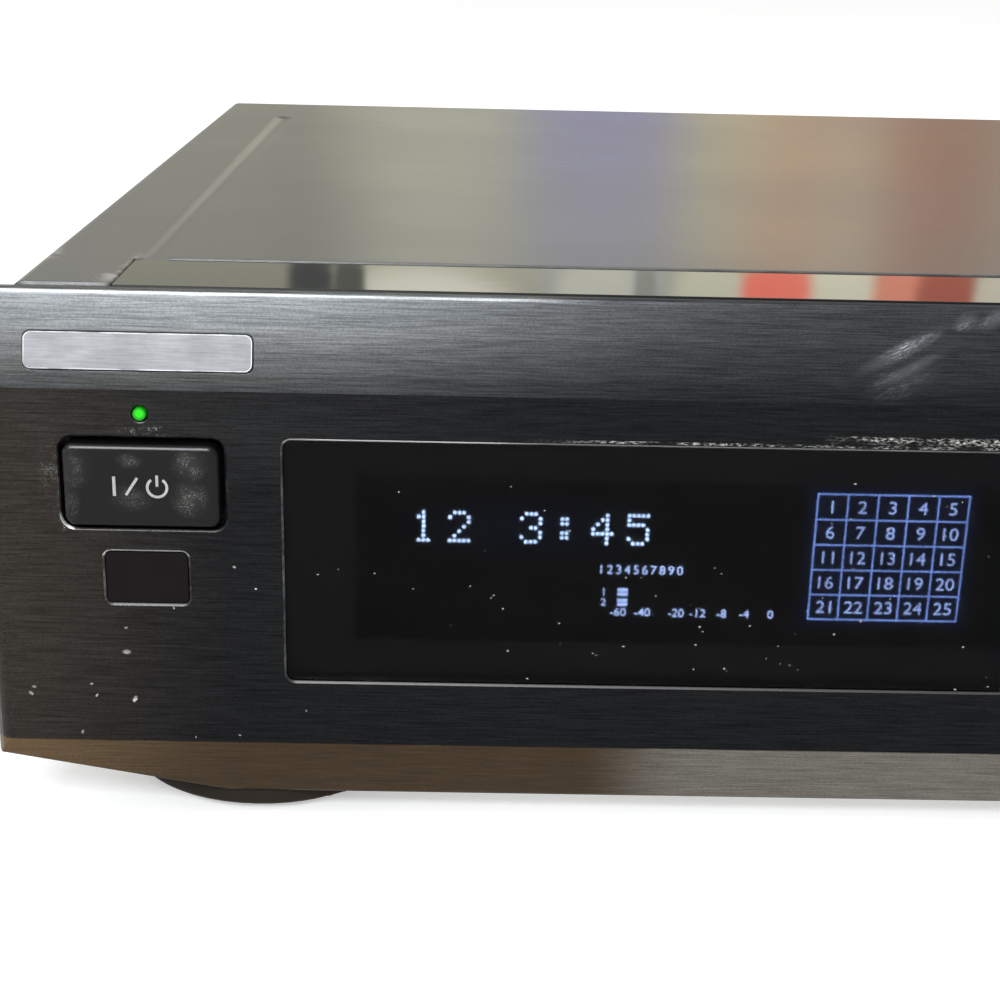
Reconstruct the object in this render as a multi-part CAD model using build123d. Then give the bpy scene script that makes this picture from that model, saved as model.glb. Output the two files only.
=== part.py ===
from build123d import *
import math
import os

# A full-width minidisc deck. All sizes are in millimetres.
# X runs to the right as seen from the front, Y to the back and Z up.
# The origin is on the table, under the centre of the overall box.

# Overall size
WIDTH = 430.0
HEIGHT = 95.0
BODY_DEPTH = 262.0
JOG_PROUD = 14.0
JACK_PROUD = 9.0
FACE_Y = -(JOG_PROUD + BODY_DEPTH + JACK_PROUD) / 2 + JOG_PROUD

# Clearances
RUN_FIT = 0.05
FREE = 0.3
SEAT = 0.15

# Fascia: a bent and brushed skin with a leaning upper band and a lower chamfer
FASCIA_SKIN = 2.0
FASCIA_DEPTH = 6.0
FASCIA_END = 2.5
FASCIA_DROP = 0.5
BAND_H = 15.4
BAND_SETBACK = 4.5
BAND_BULGE = 0.5
TOP_ROUND = 0.9
CHAMFER_TOP = 17.0
LIP_Z = 4.7
END_RUN = 39.0
END_RISE = 9.2
END_ROUND = 4.0
EDGE_BREAK = 0.35

# Window over the display and the disc slot, set by the margins around it
WINDOW_INSET = 50.1
WINDOW_RIGHT = 132.0
WINDOW_ABOVE = 11.7
WINDOW_BELOW = 7.9
WINDOW_R = 1.5
WINDOW_RECESS = 0.6
WINDOW_T = 2.5
WINDOW_FLANGE = 2.0

# Left column: badge, lamp, power button and remote sensor on one centre line
COLUMN_INSET = 27.4
BADGE_W = 36.5
BADGE_H = 6.2
BADGE_RISE = 6.0
BADGE_POCKET = 0.8
BADGE_T = 1.2
LED_BELOW = 3.9
LED_R = 1.05
LED_FLANGE = 0.6
POWER_BELOW = 15.7
POWER_W = 26.7
POWER_H = 15.5
POWER_R = 2.2
POWER_PROUD = 1.5
POWER_ROUND = 1.0
POWER_GAP = 0.8
POWER_TRAVEL = 2.0
SENSOR_BELOW = 16.4
SENSOR_W = 13.7
SENSOR_H = 9.2
SENSOR_R = 1.1
SENSOR_RECESS = 0.3

# Front frame: a moulded frame behind the fascia, with the gloss top flange
FRAME_PLATE = 2.5
FRAME_WALL = 2.5
FRAME_REAR = 20.0
FRAME_GAP = 0.7
FRAME_TUBE_Z = 15.5
FRAME_RISE = 1.4
FRAME_FOOT_Z = 12.0
STRIP_INSET = 16.5
STRIP_REAR = 26.3
STRIP_T = 1.5
STRIP_DROP = 0.2
WEB_DROP = 0.2

# Cover: folded sheet steel
COVER_INSET = 6.3
COVER_T = 1.0
COVER_Z = 11.0
COVER_ROUND = 2.4
COVER_FRONT = 6.2
NOTCH_GAP = 0.3
BEAD_INSET = 19.45
BEAD_W = 5.2
BEAD_DEPTH = 0.5
BEAD_END = 30.0
LIP_H = 11.0

# Chassis base and rear panel: folded sheet steel
BASE_T = 1.0
BASE_Z = 9.0
FLANGE_SHARE = 0.63
REAR_FLANGE_H = 8.0
REAR_T = 1.0
VENT_W = 2.6
VENT_L = 26.0
VENT_PITCH = 6.0
VENT_COUNT = 9
VENT_INSET = 75.0
VENT_DROP = 37.0

# Screws
SCREW_R = 1.6
SCREW_HOLE_R = 2.0
SCREW_HEAD_R = 3.6
SCREW_HEAD_T = 2.2
SCREW_L = 6.0
SIDE_SCREW_SHARE = 0.44
SIDE_SCREW_ENDS = (60.0, 37.0)
REAR_SCREW_INSET = 28.7

# Feet
FOOT_INSET = 37.4
FOOT_FRONT = 32.8
FOOT_REAR = 35.0
FOOT_R = 26.5
FOOT_ROUND = 1.2
PAD_R = 23.5
PAD_T = 1.2
PAD_BORE_R = 12.0
FOOT_SINK_R = 5.0
FOOT_WEB = 2.4

# Disc slot, its bezel and its flap
SLOT_INSET = 5.0
SLOT_W = 76.0
SLOT_H = 8.0
BEZEL = 1.5
BEZEL_PROUD = 0.4
FLAP_T = 1.4
FLAP_BACK = 2.4
FLAP_PIN_R = 0.6
FLAP_PIN_L = 1.1
THROAT_END = 20.0

# Display tube
TUBE_INSET = 8.4
TUBE_GAP = 40.5
TUBE_MARGIN = 3.75
TUBE_T = 7.5
TUBE_RIM = 3.0

# Front circuit board and what stands on it
BOARD_T = 1.6
BOARD_Y = 16.0
BOARD_MARGIN = 0.5
SWITCH_W = 6.0
SWITCH_H = 4.3

# Keys on a grid to the right of the window. Rows are shares of the control field,
# which runs from the top keys down to the phones jack.
KEY_INSET = 16.0
KEY_BELOW = 10.1
KEY_PITCH = 20.5
KEY_W = 17.0
KEY_H = 6.4
KEY_R = 1.2
KEY_PROUD = 1.2
KEY_ROUND = 0.5
KEY_TRAVEL = 0.8
KEY_GAP = 0.3
KEY_FLANGE = 0.8
KEY_STEM_R = 1.5
SHORT_KEY_W = 14.0
SHORT_KEY_INSET = 60.0
SHORT_KEY_PITCH = 18.0
SHORT_KEY_SHARE = 0.345
RECORD_SHARE = 0.619
RECORD_W = 20.0

# Jog knob and its encoder
JOG_INSET = 30.0
JOG_SHARE = 0.619
JOG_R_SHARE = 0.405
JOG_HOLE_GAP = 0.8
JOG_BACK = 1.2
JOG_TRAVEL = 0.5
JOG_WALL = 2.5
JOG_RIM = 1.2
JOG_DIMPLE_R = 6.0
JOG_DIMPLE_X = 8.5
JOG_DIMPLE_DEPTH = 0.8
SHAFT_R = 3.0
HUB_R = 5.5
ROTOR_R = 4.95
ENCODER_W = 14.0
ENCODER_FRONT = 8.5
ENCODER_LIP = 0.6

# Level knobs, their pots and the phones jack
REC_INSET = 25.0
REC_SHARE = 0.214
REC_R = 11.0
REC_PROUD = 12.0
PHONES_KNOB_INSET = 18.0
PHONES_RISE = 10.0
PHONES_KNOB_R = 5.5
PHONES_KNOB_PROUD = 9.0
KNOB_GAP = 0.6
KNOB_WALL = 2.0
KNOB_ROUND = 0.9
POINTER_W = 1.0
POINTER_DEPTH = 0.4
POINTER_START = 0.35
POT_W = 12.0
POT_FRONT = 9.0
POT_BORE = 5.5
PANEL_HOLE_GAP = 1.2
JACK_SPACING = 26.0
JACK_BORE_R = 3.2
JACK_BUSH_R = 5.0
JACK_NUT_R = 6.6
JACK_NUT_T = 1.2
JACK_BODY = 14.0
JACK_DEPTH = 30.0
JACK_WALL = 2.0

# Timer slide switch
TIMER_SPACING = 28.0
TIMER_SLOT_W = 13.0
TIMER_SLOT_H = 4.4
TIMER_SLOT_R = 0.5
TIMER_KNOB_W = 4.4
TIMER_TRAVEL = 4.0
TIMER_PROUD = 2.0
TIMER_BOX_W = 18.0
TIMER_BOX_H = 7.0
TIMER_BOX_T = 6.0

# Disc cartridge and the loading mechanism
CARTRIDGE_W = 72.0
CARTRIDGE_L = 68.0
CARTRIDGE_T = 5.0
HOLDER_PLAY = 0.8
HOLDER_HEIGHT_PLAY = 0.6
HOLDER_T = 0.8
HOLDER_LIP = 6.0
HOLDER_Y = 22.5
HOLDER_RISE = 3.0
HOLDER_DROP = 5.0
HOLDER_PINS = (16.0, 56.0)
PIN_R = 1.0
HEAD_OPEN_W = 12.0
HEAD_OPEN_X0 = 9.0
HEAD_OPEN_DROP = 1.5

MECH_T = 1.5
MECH_BELOW = 12.5
MECH_WALL = 1.0
MECH_WALL_RISE = 4.6
MECH_WALL_GAP = 1.0
MECH_FRONT = 22.0
MECH_REAR = 112.0
MECH_LEFT = 66.0
MECH_RIGHT = 68.0

SLIDER_T = 1.5
SLIDER_TRAVEL = 12.0
SLIDER_RISE = 3.6
SLIDER_Y = 22.0
SLIDER_L = 62.0
SLIDER_LIFT = 0.3
RACK_REACH = 8.0
RACK_Y = 40.0
RACK_L = 30.0
RACK_T = 2.0
GEAR_MODULE = 1.0
GEAR_TEETH = 16
GEAR_T = 3.0
GEAR_Y = 62.0
GEAR_BACKLASH = 0.24
GEAR_ROOT = 1.3
GEAR_SHAFT_R = 1.5
PRESSURE = 20.0
FLANK_STEPS = 6
HOOK_T = 1.0
HOOK_L = 6.0
HOOKS = (30.0, 84.0)

LOAD_BOX_H = 12.0
LOAD_BOX_W = 22.0
LOAD_MOTOR_R = 8.0
LOAD_MOTOR_L = 24.0

TURNTABLE_R = 9.0
TURNTABLE_GAP = 0.7
TURNTABLE_T = 3.6
CONE_R = 3.0
CONE_H = 2.2
SPINDLE_R = 1.0
SPINDLE_MOTOR_R = 10.0
SPINDLE_MOTOR_H = 9.0
SPINDLE_HOLE_R = 3.5

ROD_R = 1.5
ROD_SPREAD = 17.0
ROD_BELOW = 7.0
ROD_X0 = 4.0
ROD_X1 = 66.0
ROD_BLOCK = 4.0
SLED_X0 = 11.0
SLED_W = 34.0
SLED_HALF = 20.0
SLED_T = 7.6
SLED_TRAVEL = 16.5
LENS_X = 15.0
LENS_R = 2.6
LENS_RISE = 0.4
LENS_SLOT = 9.0
SCREW_SPREAD = 26.0
LEAD_R = 1.5
SLED_MOTOR_R = 6.0
SLED_MOTOR_L = 12.0
BRACKET_X = 42.0
BRACKET_T = 2.0
BRACKET_W = 7.0
HEAD_PIVOT_RISE = 8.4
HEAD_PIN_R = 0.8
HEAD_ARM_T = 1.2
HEAD_ARM_W = 5.0
HEAD_PAD_H = 3.5
HEAD_EAR = 1.0

DAMPER_R = 5.0
DAMPER_H = 5.0
DAMPER_STEM_R = 2.0
LEG_W = 12.0
LEG_T = 1.2
LEG_INSET = 6.5

# Boards and parts on the floor of the chassis
STANDOFF_R = 3.0
STANDOFF_H = 8.0
STANDOFF_INSET = 6.0
MAIN_GAP = 43.0
MAIN_INSET = 15.0
MAIN_REAR = 16.0
MAIN_FRONT = 24.0
POWER_BOARD_W = 106.0
POWER_BOARD_INSET = 17.0
POWER_BOARD_Y = (34.0, 132.0)
CHIP_T = 2.4
CORE_W = 66.0
CORE_D = 34.0
CORE_H = 55.0
CORE_INSET = 69.0
CORE_REAR = 72.0
COIL_W = 40.0
COIL_D = 52.0
COIL_H = 38.0
CORE_TAB = 9.0
CORE_TAB_T = 1.5
CAN_R = 9.0
CAN_H = 30.0
CAN_ROUND = 0.8
SINK_SHARE = 0.4
SINK_REAR = 24.0
SINK_W = 52.0
SINK_T = 3.0
SINK_H = 44.0
SINK_FIN = 12.0
SINK_FINS = 7
RIBBON_T = 0.4
RIBBON_W = 22.0
CONNECTOR_H = 6.0
CONNECTOR_T = 4.0
FRONT_CABLE_INSET = 20.0

# Rear sockets
PHONO_INSET = 149.0
PHONO_SPACING = 18.0
PHONO_RISE = 36.0
PHONO_R = 4.15
PHONO_BORE_R = 1.6
PHONO_COLLAR_R = 6.0
PHONO_COLLAR_T = 1.0
PHONO_MARGIN = 9.0
PHONO_BLOCK_T = 14.0
OPTICAL_INSET = 97.0
OPTICAL_SPACING = 20.0
SOCKET_RISE = 46.0
OPTICAL_W = 11.0
OPTICAL_H = 11.0
OPTICAL_SOCKET = 6.4
OPTICAL_DEPTH = 8.0
OPTICAL_PROUD = 2.0
OPTICAL_BODY = 14.0
INLET_INSET = 33.0
INLET_PIN_SPACING = 8.6
INLET_SOCKET_H = 8.0
INLET_WALL = 1.6
INLET_DEPTH = 13.0
INLET_BODY = 18.0
INLET_FLANGE_W = 34.0
INLET_FLANGE_T = 2.0
INLET_PIN_R = 1.2
INLET_PIN_L = 9.0

# Places that follow from the sizes above: the case
HALF_W = WIDTH / 2
LEFT_X = -HALF_W
COVER_W = WIDTH - 2 * COVER_INSET
FRAME_W = COVER_W - 2 * (COVER_T + BASE_T + FRAME_GAP)
STRIP_W = COVER_W - 2 * STRIP_INSET
FASCIA_TOP = HEIGHT - FASCIA_DROP
CREASE_Z = FASCIA_TOP - BAND_H
FRAME_TUBE_TOP = CREASE_Z + FRAME_RISE
PLATE_BACK = FASCIA_SKIN + FRAME_PLATE
COVER_UNDER = HEIGHT - COVER_T
COVER_REAR = BODY_DEPTH
BEAD_REAR = BODY_DEPTH - BEAD_END
REAR_BACK = COVER_REAR - COVER_T
REAR_FRONT = REAR_BACK - REAR_T
BASE_TOP = BASE_Z + BASE_T
BASE_HALF = COVER_W / 2 - COVER_T
FLANGE_TOP = HEIGHT * FLANGE_SHARE
WEB_BACK = FASCIA_DEPTH + FRAME_WALL
STRIP_Z = HEIGHT - STRIP_DROP
SIDE_SCREW_Z = HEIGHT * SIDE_SCREW_SHARE
SIDE_SCREWS = (SIDE_SCREW_ENDS[0], BODY_DEPTH - SIDE_SCREW_ENDS[1])
REAR_SCREWS = (REAR_SCREW_INSET - COVER_W / 2, 0.0, COVER_W / 2 - REAR_SCREW_INSET)
VENT_X = LEFT_X + VENT_INSET
VENT_Z = HEIGHT - VENT_DROP
FEET = [
    (side * (COVER_W / 2 - FOOT_INSET), along)
    for side in (-1, 1)
    for along in (FOOT_FRONT, BODY_DEPTH - FOOT_REAR)
]

# Places on the front
COLUMN_X = LEFT_X + COLUMN_INSET
BADGE_Z = CREASE_Z + BADGE_RISE
LED_Z = CREASE_Z - LED_BELOW
POWER_Z = CREASE_Z - POWER_BELOW
SENSOR_Z = POWER_Z - SENSOR_BELOW
WINDOW_W = WIDTH - WINDOW_INSET - WINDOW_RIGHT
WINDOW_Z = CHAMFER_TOP + WINDOW_ABOVE
WINDOW_H = CREASE_Z - WINDOW_BELOW - WINDOW_Z
WINDOW_X = LEFT_X + WINDOW_INSET + WINDOW_W / 2
WINDOW_END = WINDOW_X + WINDOW_W / 2
WINDOW_MID_Z = WINDOW_Z + WINDOW_H / 2
TUBE_W = WINDOW_W - SLOT_W - SLOT_INSET - TUBE_INSET - TUBE_GAP
TUBE_H = WINDOW_H - 2 * TUBE_MARGIN
TUBE_X = LEFT_X + WINDOW_INSET + TUBE_INSET + TUBE_W / 2
TUBE_Z = WINDOW_MID_Z
KEY_X = WINDOW_END + KEY_INSET
KEY_Z = CREASE_Z - KEY_BELOW
PHONES_Z = CHAMFER_TOP + PHONES_RISE
FIELD = KEY_Z - PHONES_Z
SHORT_KEY_X = WINDOW_END + SHORT_KEY_INSET
SHORT_KEY_Z = KEY_Z - FIELD * SHORT_KEY_SHARE
RECORD_Z = KEY_Z - FIELD * RECORD_SHARE
JOG_X = WINDOW_END + JOG_INSET
JOG_Z = KEY_Z - FIELD * JOG_SHARE
JOG_R = FIELD * JOG_R_SHARE
REC_X = HALF_W - REC_INSET
REC_Z = KEY_Z - FIELD * REC_SHARE
PHONES_KNOB_X = HALF_W - PHONES_KNOB_INSET
JACK_X = PHONES_KNOB_X - JACK_SPACING
TIMER_X = JACK_X - TIMER_SPACING
SWITCH_FRONT = BOARD_Y - SWITCH_H

# Places in the mechanism, which hangs on the slot
SLOT_X = WINDOW_END - SLOT_INSET - SLOT_W / 2
SLOT_Z = WINDOW_MID_Z
SLOT_MID_Z = SLOT_Z + SLOT_H / 2
FLAP_Y = FLAP_BACK - FLAP_T / 2
FLAP_PIVOT_Z = SLOT_Z + SLOT_H - FREE - FLAP_T / 2
HOLDER_W = CARTRIDGE_W + HOLDER_PLAY
HOLDER_H = CARTRIDGE_T + HOLDER_HEIGHT_PLAY
HOLDER_OUT = HOLDER_W / 2 + HOLDER_T
HOLDER_Z = SLOT_Z + HOLDER_RISE
HUB_Y = HOLDER_Y + CARTRIDGE_L / 2
WALL_IN = HOLDER_OUT + MECH_WALL_GAP
WALL_OUT = WALL_IN + MECH_WALL
MECH_TOP = HOLDER_Z - MECH_BELOW
MECH_UNDER = MECH_TOP - MECH_T
MECH_WALL_TOP = HOLDER_Z + MECH_WALL_RISE
HEAD_OPEN_Z = HOLDER_Z - HEAD_OPEN_DROP
SLIDER_TOP = HOLDER_Z + SLIDER_RISE
SLIDER_IN = WALL_OUT + FREE
SLIDER_OUT = SLIDER_IN + SLIDER_T
GEAR_R = GEAR_MODULE * GEAR_TEETH / 2
RACK_PITCH_X = SLOT_X - SLIDER_OUT - RACK_REACH
RACK_Z = MECH_TOP + SLIDER_LIFT
GEAR_X = RACK_PITCH_X - GEAR_R
TURNTABLE_Z = MECH_TOP + TURNTABLE_GAP
ROD_Z = MECH_UNDER - ROD_BELOW
LENS_TOP = MECH_TOP + LENS_RISE
HEAD_PIVOT_Z = HOLDER_Z + HEAD_PIVOT_RISE

# Places of the boards and the rear sockets
BOARD_TOP = BASE_TOP + STANDOFF_H + BOARD_T
MAIN_Y = (MECH_REAR + MAIN_FRONT, BODY_DEPTH - MAIN_REAR)
POWER_BOARD_X = (LEFT_X + POWER_BOARD_INSET, LEFT_X + POWER_BOARD_INSET + POWER_BOARD_W)
CORE_X = LEFT_X + CORE_INSET
CORE_Y = BODY_DEPTH - CORE_REAR
MAIN_X = (CORE_X + CORE_W / 2 + MAIN_GAP, HALF_W - MAIN_INSET)
MAIN_W = MAIN_X[1] - MAIN_X[0]
PHONO_X = (HALF_W - PHONO_INSET, HALF_W - PHONO_INSET + PHONO_SPACING)
PHONO_Z = (PHONO_RISE, PHONO_RISE + PHONO_SPACING)
OPTICAL_X = (HALF_W - OPTICAL_INSET, HALF_W - OPTICAL_INSET + OPTICAL_SPACING)
OPTICAL_Z = SOCKET_RISE
INLET_X = LEFT_X + INLET_INSET
INLET_Z = SOCKET_RISE
RIBBON_SOCKET_Y = MAIN_Y[0] + CONNECTOR_T
FRONT_CABLE_X = MAIN_X[0] + FRONT_CABLE_INSET

KEYS = {
    "eject_button": (KEY_X, KEY_Z, KEY_W),
    "play_button": (KEY_X + KEY_PITCH, KEY_Z, KEY_W),
    "pause_button": (KEY_X + 2 * KEY_PITCH, KEY_Z, KEY_W),
    "stop_button": (KEY_X + 3 * KEY_PITCH, KEY_Z, KEY_W),
    "rewind_button": (SHORT_KEY_X, SHORT_KEY_Z, SHORT_KEY_W),
    "forward_button": (SHORT_KEY_X + SHORT_KEY_PITCH, SHORT_KEY_Z, SHORT_KEY_W),
    "record_button": (SHORT_KEY_X + SHORT_KEY_PITCH / 2, RECORD_Z, RECORD_W),
}
POTS = ((REC_X, REC_Z), (PHONES_KNOB_X, PHONES_Z))


def back(distance):
    """Y of a place that lies this far behind the flat front face."""
    return FACE_Y + distance


def block(x, y, z):
    """A box between two values of X, of distance behind the face, and of Z."""
    centre = ((x[0] + x[1]) / 2, back((y[0] + y[1]) / 2), (z[0] + z[1]) / 2)
    return Pos(*centre) * Box(x[1] - x[0], y[1] - y[0], z[1] - z[0])


def along_x(outline, y, z, x):
    plane = Plane(origin=(x[0], back(y), z), x_dir=(0, 1, 0), z_dir=(1, 0, 0))
    return extrude(plane * outline, amount=x[1] - x[0])


def along_y(outline, x, z, y):
    plane = Plane(origin=(x, back(y[0]), z), x_dir=(-1, 0, 0), z_dir=(0, 1, 0))
    return extrude(plane * outline, amount=y[1] - y[0])


def along_z(outline, x, y, z):
    plane = Plane(origin=(x, back(y), z[0]), x_dir=(1, 0, 0), z_dir=(0, 0, 1))
    return extrude(plane * outline, amount=z[1] - z[0])


def polygon(points):
    return make_face(Polyline(*points, close=True))


def front_edges(solid, distance):
    """Edges of the solid's flat faces that look forward at this distance."""
    faces = solid.faces().filter_by(Axis.Y).filter_by_position(
        Axis.Y, back(distance) - 0.01, back(distance) + 0.01
    )
    return [edge for face in faces for edge in face.edges()]


def save(name, *solids):
    """Write one node, made of one or more separate solids."""
    found = [solid for shape in solids for solid in shape.solids()]
    shape = found[0] if len(found) == 1 else Compound(children=found)
    shape.label = name
    export_step(shape, os.path.join("parts", name + ".step"))


def fascia_profile(inset):
    """Section of the fascia in Y and Z, inset evenly from its front."""
    lean = math.atan2(BAND_SETBACK, BAND_H)
    cut = math.atan2(FASCIA_DEPTH, CHAMFER_TOP - LIP_Z)
    crease = CREASE_Z + inset * math.tan(lean / 2)
    ledge = CHAMFER_TOP + inset * math.tan(cut / 2)
    lip_z = LIP_Z + inset / math.sin(cut)
    top_y = BAND_SETBACK + inset * math.cos(lean)
    top_z = FASCIA_TOP - inset * math.sin(lean)
    middle = (
        (inset + top_y) / 2 - BAND_BULGE * math.cos(lean),
        (crease + top_z) / 2 + BAND_BULGE * math.sin(lean),
    )
    rear = max(FASCIA_DEPTH, top_y) + inset
    lines = [
        Line((FASCIA_DEPTH, lip_z), (inset, ledge)),
        Line((inset, ledge), (inset, crease)),
        ThreePointArc((inset, crease), middle, (top_y, top_z)),
        Line((top_y, top_z), (rear, top_z)),
    ]
    if rear > FASCIA_DEPTH:
        lines.append(Line((rear, top_z), (rear, lip_z)))
        lines.append(Line((rear, lip_z), (FASCIA_DEPTH, lip_z)))
    else:
        lines.append(Line((rear, top_z), (FASCIA_DEPTH, lip_z)))
    return make_face(lines)


def make_fascia():
    half = WIDTH / 2
    outer = along_x(fascia_profile(0), 0, 0, (-half, half))
    top_edge = outer.edges().filter_by(Axis.X).sort_by(
        lambda edge: edge.center().Z - edge.center().Y
    )[-1]
    outer = fillet(top_edge, TOP_ROUND)
    inner = along_x(fascia_profile(FASCIA_SKIN), 0, 0, (-half + FASCIA_END, half - FASCIA_END))
    plan = Pos(0, back(END_ROUND + FASCIA_DEPTH)) * RectangleRounded(
        WIDTH, 2 * (END_ROUND + FASCIA_DEPTH), END_ROUND
    )
    shell = (outer & extrude(plan, amount=HEIGHT)) - inner
    cutters = []
    for side in (-1, 1):
        ends = [
            (half + 1, LIP_Z + END_RISE * (1 + 1 / END_RUN)),
            (half - END_RUN, LIP_Z),
            (half - END_RUN, 0),
            (half + 1, 0),
        ]
        outline = polygon([(-side * x, z) for x, z in ends])
        cutters.append(along_y(outline, 0, 0, (-1, FASCIA_DEPTH + 1)))
    depth = (-1, FASCIA_DEPTH)
    cutters += shared_openings(depth)
    window = RectangleRounded(WINDOW_W, WINDOW_H, WINDOW_R)
    cutters.append(along_y(window, WINDOW_X, WINDOW_MID_Z, depth))
    cutters.append(along_y(Circle(JOG_R + JOG_HOLE_GAP), JOG_X, JOG_Z, depth))
    shell -= cutters
    shell -= badge_place(BADGE_W, BADGE_H, BADGE_POCKET, 1)
    openings = [
        edge
        for edge in front_edges(shell, 0)
        if LEFT_X + END_ROUND + 1 < edge.center().X < half - END_ROUND - 1
        and CHAMFER_TOP + 1 < edge.center().Z < CREASE_Z - 1
    ]
    return chamfer(openings, EDGE_BREAK)


def badge_place(width, height, depth, proud):
    """A block set square to the upper band, from its depth to its proud face."""
    lean = math.degrees(math.atan2(BAND_SETBACK, BAND_H))
    share = (BADGE_Z - CREASE_Z) / BAND_H
    bulge = 4 * BAND_BULGE * share * (1 - share)
    surface = BAND_SETBACK * share - bulge
    outline = RectangleRounded(width, height, KEY_R)
    plane = Plane(origin=(0, 0, 0), x_dir=(-1, 0, 0), z_dir=(0, 1, 0))
    plate = extrude(plane * outline, amount=depth + proud)
    return Pos(COLUMN_X, back(surface), BADGE_Z) * Rot(-lean, 0, 0) * Pos(0, -proud, 0) * plate


def make_badge():
    return badge_place(BADGE_W - 2 * SEAT, BADGE_H - 2 * SEAT, BADGE_POCKET, BADGE_T - BADGE_POCKET)


def shared_openings(depth):
    """Cutters for the openings that the fascia and the frame's plate share."""
    cutters = [
        along_y(RectangleRounded(POWER_W, POWER_H, POWER_R), COLUMN_X, POWER_Z, depth),
        along_y(RectangleRounded(SENSOR_W, SENSOR_H, SENSOR_R), COLUMN_X, SENSOR_Z, depth),
        along_y(Circle(LED_R + SEAT), COLUMN_X, LED_Z, depth),
        along_y(Circle(JACK_BUSH_R + FREE), JACK_X, PHONES_Z, depth),
        along_y(RectangleRounded(TIMER_SLOT_W, TIMER_SLOT_H, TIMER_SLOT_R), TIMER_X, PHONES_Z, depth),
    ]
    for x, z, width in KEYS.values():
        outline = RectangleRounded(width + 2 * KEY_GAP, KEY_H + 2 * KEY_GAP, KEY_R)
        cutters.append(along_y(outline, x, z, depth))
    for x, z in POTS:
        cutters.append(along_y(Circle(SHAFT_R + PANEL_HOLE_GAP), x, z, depth))
    return cutters


def make_front_frame():
    half = FRAME_W / 2
    inside = half - FRAME_WALL
    plate_half = WIDTH / 2 - FASCIA_END - SEAT
    low = CHAMFER_TOP + FASCIA_SKIN
    high = CREASE_Z - SEAT
    frame = block((-plate_half, plate_half), (FASCIA_SKIN, PLATE_BACK), (low, high))
    frame += block((-half, half), (PLATE_BACK, FRAME_REAR), (FRAME_TUBE_Z, FRAME_TUBE_TOP)) - block(
        (-inside, inside),
        (PLATE_BACK, FRAME_REAR + 1),
        (FRAME_TUBE_Z + FRAME_WALL, FRAME_TUBE_TOP - FRAME_WALL),
    )
    web_top = COVER_UNDER - WEB_DROP
    frame += block((-half, half), (FASCIA_DEPTH, WEB_BACK), (FRAME_TUBE_TOP - FRAME_WALL, web_top))
    frame += block((-half, half), (FASCIA_DEPTH, WEB_BACK), (FRAME_FOOT_Z, FRAME_TUBE_Z + FRAME_WALL))
    strip = (-STRIP_W / 2, STRIP_W / 2)
    frame += block(strip, (FASCIA_DEPTH, STRIP_REAR), (STRIP_Z - STRIP_T, STRIP_Z))
    frame -= along_y(
        RectangleRounded(
            WINDOW_W + 2 * (WINDOW_FLANGE + SEAT), WINDOW_H + 2 * (WINDOW_FLANGE + SEAT), WINDOW_R
        ),
        WINDOW_X,
        WINDOW_MID_Z,
        (FASCIA_SKIN - 1, WINDOW_RECESS + WINDOW_T),
    )
    depth = (FASCIA_SKIN - 1, WEB_BACK)
    frame -= shared_openings(depth)
    frame -= along_y(Circle(SHAFT_R + PANEL_HOLE_GAP), JOG_X, JOG_Z, depth)
    view = Rectangle(TUBE_W - 2 * TUBE_RIM, TUBE_H - 2 * TUBE_RIM)
    frame -= along_y(view, TUBE_X, TUBE_Z, depth)
    frame += slot_block(BEZEL, (WINDOW_RECESS - BEZEL_PROUD, THROAT_END))
    frame -= slot_block(0, (-1, THROAT_END + 1))
    pin_half = SLOT_W / 2 + FLAP_PIN_L + SEAT
    frame -= along_x(
        Circle(FLAP_PIN_R + RUN_FIT), FLAP_Y, FLAP_PIVOT_Z, (SLOT_X - pin_half, SLOT_X + pin_half)
    )
    return frame


def slot_block(growth, y):
    outline = RectangleRounded(SLOT_W + 2 * growth, SLOT_H + 2 * growth, FREE + growth)
    return along_y(outline, SLOT_X, SLOT_MID_Z, y)


def make_window():
    face = WINDOW_RECESS
    rear = WINDOW_RECESS + WINDOW_T
    plug = RectangleRounded(WINDOW_W - 2 * SEAT, WINDOW_H - 2 * SEAT, WINDOW_R - SEAT)
    flange = RectangleRounded(WINDOW_W + 2 * WINDOW_FLANGE, WINDOW_H + 2 * WINDOW_FLANGE, WINDOW_R)
    panel = along_y(plug, WINDOW_X, WINDOW_MID_Z, (face, FASCIA_SKIN + 0.2))
    panel += along_y(flange, WINDOW_X, WINDOW_MID_Z, (FASCIA_SKIN, rear))
    return panel - slot_block(BEZEL + SEAT, (face - 1, rear + 1))


def make_flap():
    """Sprung flap: a plate with a round top edge and two stub pins on the pivot."""
    ends = (SLOT_X - SLOT_W / 2 + FREE, SLOT_X + SLOT_W / 2 - FREE)
    pins = (SLOT_X - SLOT_W / 2 - FLAP_PIN_L, SLOT_X + SLOT_W / 2 + FLAP_PIN_L)
    flap = block(ends, (FLAP_BACK - FLAP_T, FLAP_BACK), (SLOT_Z + FREE, FLAP_PIVOT_Z))
    flap += along_x(Circle(FLAP_T / 2), FLAP_Y, FLAP_PIVOT_Z, ends)
    return flap + along_x(Circle(FLAP_PIN_R), FLAP_Y, FLAP_PIVOT_Z, pins)


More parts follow.
